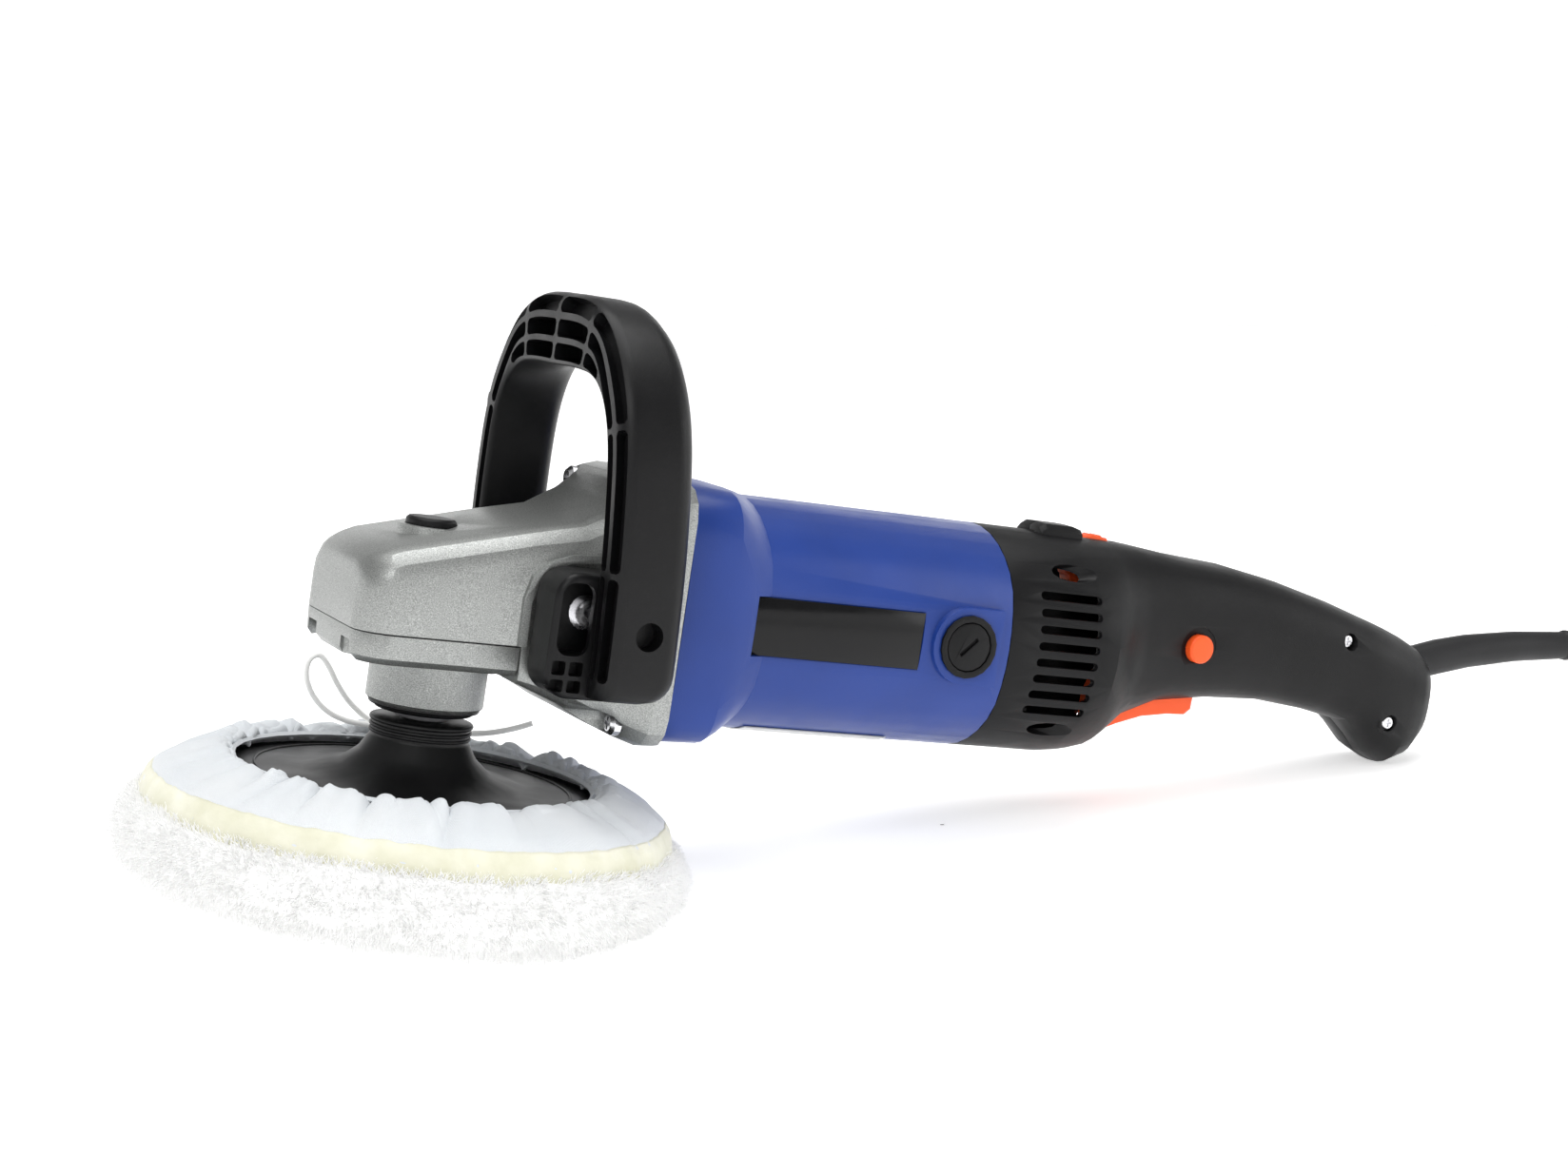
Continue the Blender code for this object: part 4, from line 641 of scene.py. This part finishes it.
def slot_row(span, edges, side, deep=SLOT_DEEP, tilt=0.0):
    """One slot of a row in the front of the bar, with rounded ends."""
    start, end = span
    count = max(6, int((end - start) / 2.2))
    round_end = 1.5
    places = [start, start + 0.45, start + round_end] + [start + round_end + (end - start - 2 * round_end) * i / count
                                                       for i in range(1, count)] + [end - round_end, end - 0.45, end]
    loops = []
    for along in places:
        inner, outer = grip_at(along)
        wide = hypot(outer[0] - inner[0], outer[1] - inner[1])
        dy, dz = (outer[0] - inner[0]) / wide, (outer[1] - inner[1]) / wide
        share = min(1.0, max(0.0, (along - 34.0) / 28.0))
        share = share * share * (3 - 2 * share)
        low, high = [a + (b - a) * share for a, b in zip(*edges)]
        away = min(along - start, end - along)
        trim = 1.3 * max(0.0, 1 - away / round_end) ** 2
        low, high = low * wide + trim, high * wide - trim
        if high - low < 0.8:
            low, high = (low + high) / 2 - 0.4, (low + high) / 2 + 0.4
        front = grip_front((inner[1] + outer[1]) / 2)
        half, middle = (high - low) / 2, (low + high) / 2
        ax, av = cos(radians(tilt)), -sin(radians(tilt))
        corners = [(front + 1.0 + ax * out - av * across, middle + av * out + ax * across)
                   for out, across in ((-4.0, -half), (-4.0, half), (deep, half), (deep, -half))]
        loops.append([(x, side * (inner[0] + v * dy), inner[1] + v * dz) for x, v in corners])
    return skin_mesh("slot", loops)


def one_mesh(meshes):
    """Several meshes as one, with the first ones used up."""
    whole = bmesh.new()
    for mesh in meshes:
        whole.from_mesh(mesh)
        bpy.data.meshes.remove(mesh)
    made = bpy.data.meshes.new("joined")
    whole.to_mesh(made)
    whole.free()
    return made


def carved(base, steps):
    """A mesh after a row of booleans: steps are (operation, mesh)."""
    body = bpy.data.objects.new("body", base)
    bpy.context.scene.collection.objects.link(body)
    helpers = []
    for operation, mesh in steps:
        helper = bpy.data.objects.new("helper", mesh)
        bpy.context.scene.collection.objects.link(helper)
        helpers.append(helper)
        change = body.modifiers.new("step", "BOOLEAN")
        change.operation = operation
        change.object = helper
        change.solver = "EXACT"
    made = bpy.data.meshes.new_from_object(body.evaluated_get(bpy.context.evaluated_depsgraph_get()))
    for helper in helpers + [body]:
        bpy.data.objects.remove(helper)
    return made


def grip_cutters(side):
    slots = [slot_row(span, SLOT_ROWS[0], side, OUTER_DEEP, OUTER_TILT) for span in SLOT_SPANS]
    slots += [slot_row(span, SLOT_ROWS[1], side) for span in SLOT_SPANS]
    slots += [slot_row(span, INNER_ROW, side) for span in INNER_ROW_SPANS]
    z0, z1 = POCKET_Z
    slots.append(slab(rounded_outline((FOOT_X[0] + 2.6, z0), (BOLT_AT[0] + 12.5, z1), 5.5), BOLT_SEAT, 57.4, side))
    slots += [slab(rounded_outline((x0, b0), (x1, b1), 0.8, 3), FOOT_Y[1] - 6.0, FOOT_Y[1] + 3.0, side)
              for x0, x1 in SMALL_POCKETS_X for b0, b1 in SMALL_POCKETS_Z]
    hole = [(LEG_HOLE[0] + 5.0 * cos(a), LEG_HOLE[1] + 5.0 * sin(a)) for a in [2 * pi * i / 40 for i in range(40)]]
    slots.append(slab(hole, 66.0, 84.0, side))
    return slots


def grip_mouths(side):
    """The open side of each bolt's hollow, and the bolt's bore."""
    z0, z1 = POCKET_Z
    mouth = rounded_outline((FOOT_X[0] + 2.0, z0), (grip_front(BOLT_AT[1]) - 0.4, z1), 4.5)
    bore = [(BOLT_AT[0] + 3.4 * cos(a), BOLT_AT[1] + 3.4 * sin(a)) for a in [2 * pi * i / 24 for i in range(24)]]
    return [slab(mouth, BOLT_SEAT + 4.0, 72.0, side), slab(bore, 36.0, BOLT_SEAT + 1, side)]


def d_handle(looks):
    half = [grip_loop(*rounded_foot(along, inner, outer)) for along, inner, outer in GRIP_HALF]
    half.append(grip_loop(*rounded_foot(GRIP_HALF[-1][0] + 0.001, *GRIP_HALF[-1][1:])))
    other = [[(x, -y, z) for x, y, z in loop] for loop in half[1:]]
    bar = skin_mesh("bar", list(reversed(half)) + other)
    feet = [("UNION", slab(rounded_outline((FOOT_X[0], FOOT_Z[0]), (FOOT_X[1], FOOT_Z[1]), 9.0), FOOT_Y[0], FOOT_Y[1],
                           side, 2.4)) for side in (-1, 1)]
    cuts = [("DIFFERENCE", one_mesh(made(side))) for made in (grip_cutters, grip_mouths) for side in (-1, 1)]
    mesh = carved(bar, feet + cuts)
    mesh.transform(MACHINE)
    mesh.materials.clear()
    mesh.materials.append(looks["grip"])
    mesh.shade_smooth()
    piece = bpy.data.objects.new("d_handle_detailed", mesh)
    bpy.context.scene.collection.objects.link(piece)
    weld = piece.modifiers.new("joined", "WELD")
    weld.merge_threshold = 0.000005
    split = piece.modifiers.new("corners", "EDGE_SPLIT")
    split.split_angle = radians(32)
    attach(piece, "machine")
    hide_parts("d_handle")


# ---------------------------------------------------------------- bonnet

STRING_R = 0.0011
FOLDS = 30               # broad folds that run out from the mouth
WRINKLES = 60            # short ones close to it
BAND_FROM = 0.70         # share of the cloth's line where the woven band starts
CLOTH_LINE = ((66.0, 38.2), (67.5, 40.0), (71.0, 39.6), (76.0, 37.8), (81.0, 35.8), (85.5, 33.6), (88.8, 31.2),
              (91.4, 28.0), (92.8, 24.4), (93.4, 20.0))
PILE_LINE = ((92.2, 22.0), (95.5, 20.6), (98.2, 17.0), (99.4, 11.5), (98.6, 5.0), (94.5, -0.9), (87.0, -3.2),
             (60.0, -3.4), (0.5, -3.4))
BOTTOM = -5.0


def spun(line, share):
    """A point along a profile of (radius, height), by share of its length."""
    steps = [hypot(b[0] - a[0], b[1] - a[1]) for a, b in zip(line, line[1:])]
    left = share * sum(steps)
    for (a, b), step in zip(zip(line, line[1:]), steps):
        if left <= step:
            k = left / step
            return a[0] + (b[0] - a[0]) * k, a[1] + (b[1] - a[1]) * k, (b[0] - a[0]) / step, (b[1] - a[1]) / step
        left -= step
    a, b = line[-2], line[-1]
    return b[0], b[1], (b[0] - a[0]) / steps[-1], (b[1] - a[1]) / steps[-1]


def gather_places():
    """Where the drawstring has drawn the cloth into folds: (angle, width, depth, reach, slant), seeded."""
    rng = random.Random(11)
    places = []
    for number in range(FOLDS):
        angle = 2 * pi * (number + rng.uniform(-0.36, 0.36)) / FOLDS
        places.append((angle, rng.uniform(0.04, 0.10), rng.uniform(1.4, 4.0), rng.uniform(0.6, 1.25),
                       rng.uniform(-0.16, 0.16)))
    for number in range(WRINKLES):
        angle = 2 * pi * (number + rng.uniform(-0.45, 0.45)) / WRINKLES
        places.append((angle, rng.uniform(0.012, 0.028), rng.uniform(0.3, 1.0), rng.uniform(0.10, 0.32),
                       rng.uniform(-0.2, 0.2)))
    return places


def crease(places, angle, share):
    """Depth of the folds at an angle, from the mouth (share 0) outwards."""
    depth = 0.0
    for centre, width, deep, reach, slant in places:
        if share >= reach:
            continue
        spread = width * (1 + 0.5 * share)
        away = (angle - centre - slant * share + pi) % (2 * pi) - pi
        if abs(away) < 5 * spread:
            fade = (1 - share / reach) ** 0.9
            valley = 1 / (1 + (away / (0.34 * spread)) ** 2)
            crest = 1 / (1 + ((abs(away) - 1.15 * spread) / (0.6 * spread)) ** 2)
            depth += deep * fade * (0.55 * crest - 1.05 * valley)
    return depth


def grid_mesh(name, points, rows, columns):
    """A mesh through rows of points that each close on themselves."""
    faces = []
    for i in range(rows - 1):
        for j in range(columns):
            k = (j + 1) % columns
            faces.append((i * columns + j, i * columns + k, (i + 1) * columns + k, (i + 1) * columns + j))
    mesh = bpy.data.meshes.new(name)
    mesh.from_pydata(points, [], faces)
    mesh.shade_smooth()
    piece = bpy.data.objects.new(name, mesh)
    bpy.context.scene.collection.objects.link(piece)
    return piece


def cloth_point(places, angle, share, lift=0.0):
    r, z, dr, dz = spun(CLOTH_LINE, share)
    soft = noise.noise(Vector((cos(angle) * 2.6, sin(angle) * 2.6, share * 1.5)))
    billow = noise.noise(Vector((cos(angle) * 8.0, sin(angle) * 8.0, 3.0 + share * 1.2)))
    out = crease(places, angle, share) * (1 - 0.45 * share) + 0.9 * soft + 0.8 * billow * (1 - 0.6 * share) + lift
    edge = max(0.0, 1 - share / 0.22)
    r += edge * (1.1 * crease(places, angle, 0.0) + 2.0 * noise.noise(Vector((cos(angle) * 6, sin(angle) * 6, 7.0))))
    z += edge * 0.9 * noise.noise(Vector((cos(angle) * 9, sin(angle) * 9, 12.0)))
    place = at((r - dz * -out * -1.0) * cos(angle), (r - dz * -out * -1.0) * sin(angle), z + dr * out)
    place.z = max(place.z, GROUND + 0.0008)
    return place


def bonnet_cloth(looks):
    places = gather_places()
    rows, columns = 44, 900
    points = []
    for i in range(rows):
        share = (i / (rows - 1)) ** 1.15
        for j in range(columns):
            points.append(cloth_point(places, 2 * pi * j / columns, share))
    piece = grid_mesh("bonnet_cloth", points, rows, columns)
    piece.data.materials.append(looks["cloth"])
    thick = piece.modifiers.new("thickness", "SOLIDIFY")
    thick.thickness = 0.0007
    thick.offset = -1.0
    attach(piece, "spindle_assembly")
    return piece


def band(looks):
    """The pale knitted tape that joins the cloth to the wool, with a frayed lower edge."""
    places = gather_places()
    rows, columns = 12, 900
    points = []
    for i in range(rows):
        for j in range(columns):
            a = 2 * pi * j / columns
            ragged = 0.018 * noise.noise(Vector((cos(a) * 16, sin(a) * 16, 2.0)))
            start = BAND_FROM + ragged
            share = start + (1.0 - start) * i / (rows - 1)
            points.append(cloth_point(places, a, share, 0.35 + 0.25 * noise.noise(Vector((cos(a) * 30, sin(a) * 30, i * 0.4)))))
    piece = grid_mesh("bonnet_band", points, rows, columns)
    piece.data.materials.append(looks["band"])
    thick = piece.modifiers.new("thickness", "SOLIDIFY")
    thick.thickness = 0.0005
    thick.offset = -1.0
    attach(piece, "spindle_assembly")
    return piece


def bow(looks):
    """The drawstring's loop and tail, on the cloth behind the hub."""
    loop = [(6, 64, 42.5), (0, 66, 46), (-6, 67, 51), (-11, 67, 57), (-15, 67, 63), (-19, 67, 67), (-23, 66.5, 65),
            (-23.5, 66, 59), (-20, 66, 52), (-14, 65.5, 46.5), (-6, 65, 43.4), (4, 64, 42.4)]
    tail = [(8, 64, 42.4), (17, 62, 42.8), (27, 59, 43.0), (37, 55, 43.4), (46, 51, 45.0), (54, 47, 48.0), (60, 44, 51.0)]
    for name, route, end in (("drawstring_loop", loop, "knot"), ("drawstring_tail", tail, "bare")):
        smooth = []
        padded = [route[0]] + route + [route[-1]]
        for p, q, r, t in zip(padded, padded[1:], padded[2:], padded[3:]):
            for i in range(4):
                k = i / 4
                smooth.append(at(*(0.5 * (2 * b + (c - a) * k + (2 * a - 5 * b + 4 * c - d) * k * k
                                          + (3 * b - a - 3 * c + d) * k ** 3) for a, b, c, d in zip(p, q, r, t))))
        smooth.append(at(*route[-1]))
        curve = bpy.data.curves.new(name, "CURVE")
        curve.dimensions = "3D"
        curve.bevel_depth = STRING_R
        curve.bevel_resolution = 3
        curve.use_fill_caps = True
        spline = curve.splines.new("POLY")
        spline.points.add(len(smooth) - 1)
        for point, place in zip(spline.points, smooth):
            point.co = (*place, 1.0)
        curve.materials.append(looks["string"])
        piece = bpy.data.objects.new(name, curve)
        bpy.context.scene.collection.objects.link(piece)
        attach(piece, "spindle_assembly")


def hem(looks):
    """The rolled hem that the drawstring runs in."""
    places = gather_places()
    columns, sides = 900, 8
    points = []
    for i in range(sides + 1):
        b = 2 * pi * i / sides
        for j in range(columns):
            a = 2 * pi * j / columns
            middle = cloth_point(places, a, 0.0)
            pinch = 1.0 + 0.20 * crease(places, a, 0.0) + 0.25 * noise.noise(Vector((cos(a) * 12, sin(a) * 12, 5.0)))
            r = 1.5 * min(1.5, max(0.55, pinch))
            local = Vector((cos(a) * cos(b) * r, sin(a) * cos(b) * r, sin(b) * r))
            points.append(middle + (at(*local) - at(0, 0, 0)))
    piece = grid_mesh("bonnet_hem", points, sides + 1, columns)
    weld = piece.modifiers.new("closed", "WELD")
    weld.merge_threshold = 0.00001
    piece.data.materials.append(looks["cloth"])
    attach(piece, "spindle_assembly")
    return piece


def pile_base(looks):
    rows, columns = 60, 300
    points = []
    for i in range(rows):
        share = i / (rows - 1)
        r, z, dr, dz = spun(PILE_LINE, share)
        for j in range(columns):
            a = 2 * pi * j / columns
            rough = 0.9 * noise.noise(Vector((cos(a) * 14, sin(a) * 14, share * 20)))
            place = at((r + rough * -dz) * cos(a), (r + rough * -dz) * sin(a), z + rough * dr)
            place.z = max(place.z, GROUND + 0.0004)
            points.append(place)
    piece = grid_mesh("bonnet_pile_backing", points, rows, columns)
    piece.data.materials.append(looks["wool"])
    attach(piece, "spindle_assembly")
    return piece


def locks(looks, name, count, low_share, high_share, first, last, length, seed):
    """Tapered curls of wool over a stretch of the pile, laid flat where they meet the ground."""
    rng = random.Random(seed)
    points, faces = [], []
    joints, sides = 4, 3
    for _ in range(count):
        share = rng.uniform(low_share, high_share)
        a = rng.uniform(first, last)
        r, z, dr, dz = spun(PILE_LINE, share)
        normal = Vector((-dz * cos(a), -dz * sin(a), dr))
        if normal.z > 0 and share > 0.3:
            normal.z = -normal.z
        outward = Vector((cos(a), sin(a), 0.0))
        if normal.dot(outward) < 0 and share < 0.3:
            normal = -normal
        side = Vector((-sin(a), cos(a), 0.0))
        clump = noise.noise_vector(Vector((cos(a) * 9, sin(a) * 9, share * 26)))
        aim = (normal + 0.4 * clump + Vector((rng.gauss(0, 0.28), rng.gauss(0, 0.28), rng.gauss(0, 0.28)))).normalized()
        reach = length * rng.uniform(0.55, 1.1) * (0.95 + 0.2 * clump.x)
        bend = (side * rng.gauss(0, 0.5) + Vector((0, 0, -0.35)) + 0.5 * Vector(noise.noise_vector(Vector((a * 7, share * 9, 3.0)))))
        thick = rng.uniform(0.20, 0.38)
        across = aim.cross(Vector((0.3, 0.2, 0.9))).normalized()
        up = across.cross(aim).normalized()
        start = len(points)
        root = Vector((r * cos(a), r * sin(a), z))
        for k in range(joints):
            t = k / (joints - 1)
            centre = root + aim * reach * t + bend * reach * 0.42 * t * t
            w = thick * (1 - 0.78 * t)
            for m in range(sides):
                b = 2 * pi * m / sides + t * 1.5
                place = MACHINE @ (centre + across * w * cos(b) + up * w * sin(b))
                place.z = max(place.z, GROUND + 0.0003)
                points.append(place)
        for k in range(joints - 1):
            for m in range(sides):
                n = (m + 1) % sides
                faces.append((start + k * sides + m, start + k * sides + n, start + (k + 1) * sides + n, start + (k + 1) * sides + m))
        faces.append(tuple(start + (joints - 1) * sides + m for m in range(sides)))
    mesh = bpy.data.meshes.new(name)
    mesh.from_pydata(points, [], faces)
    mesh.shade_smooth()
    piece = bpy.data.objects.new(name, mesh)
    bpy.context.scene.collection.objects.link(piece)
    mesh.materials.append(looks["wool"])
    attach(piece, "spindle_assembly")
    return piece


def bonnet(looks):
    cloth = bonnet_cloth(looks)
    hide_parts("bonnet")
    hem(looks)
    band(looks)
    bow(looks)
    pile_base(looks)
    for quarter in range(4):
        first = quarter * pi / 2
        locks(looks, f"bonnet_wool_rim_{quarter + 1}", WOOL_RIM, 0.0, 0.32, first, first + pi / 2, 4.6, 20 + quarter)
        locks(looks, f"bonnet_wool_face_{quarter + 1}", WOOL_FACE, 0.30, 0.95, first, first + pi / 2, 3.4, 40 + quarter)


# ---------------------------------------------------------------- making

LOOKS = materials()
camera()
studio()
dress_nodes(LOOKS)
lead(LOOKS)
beads(LOOKS)
d_handle(LOOKS)
bonnet(LOOKS)
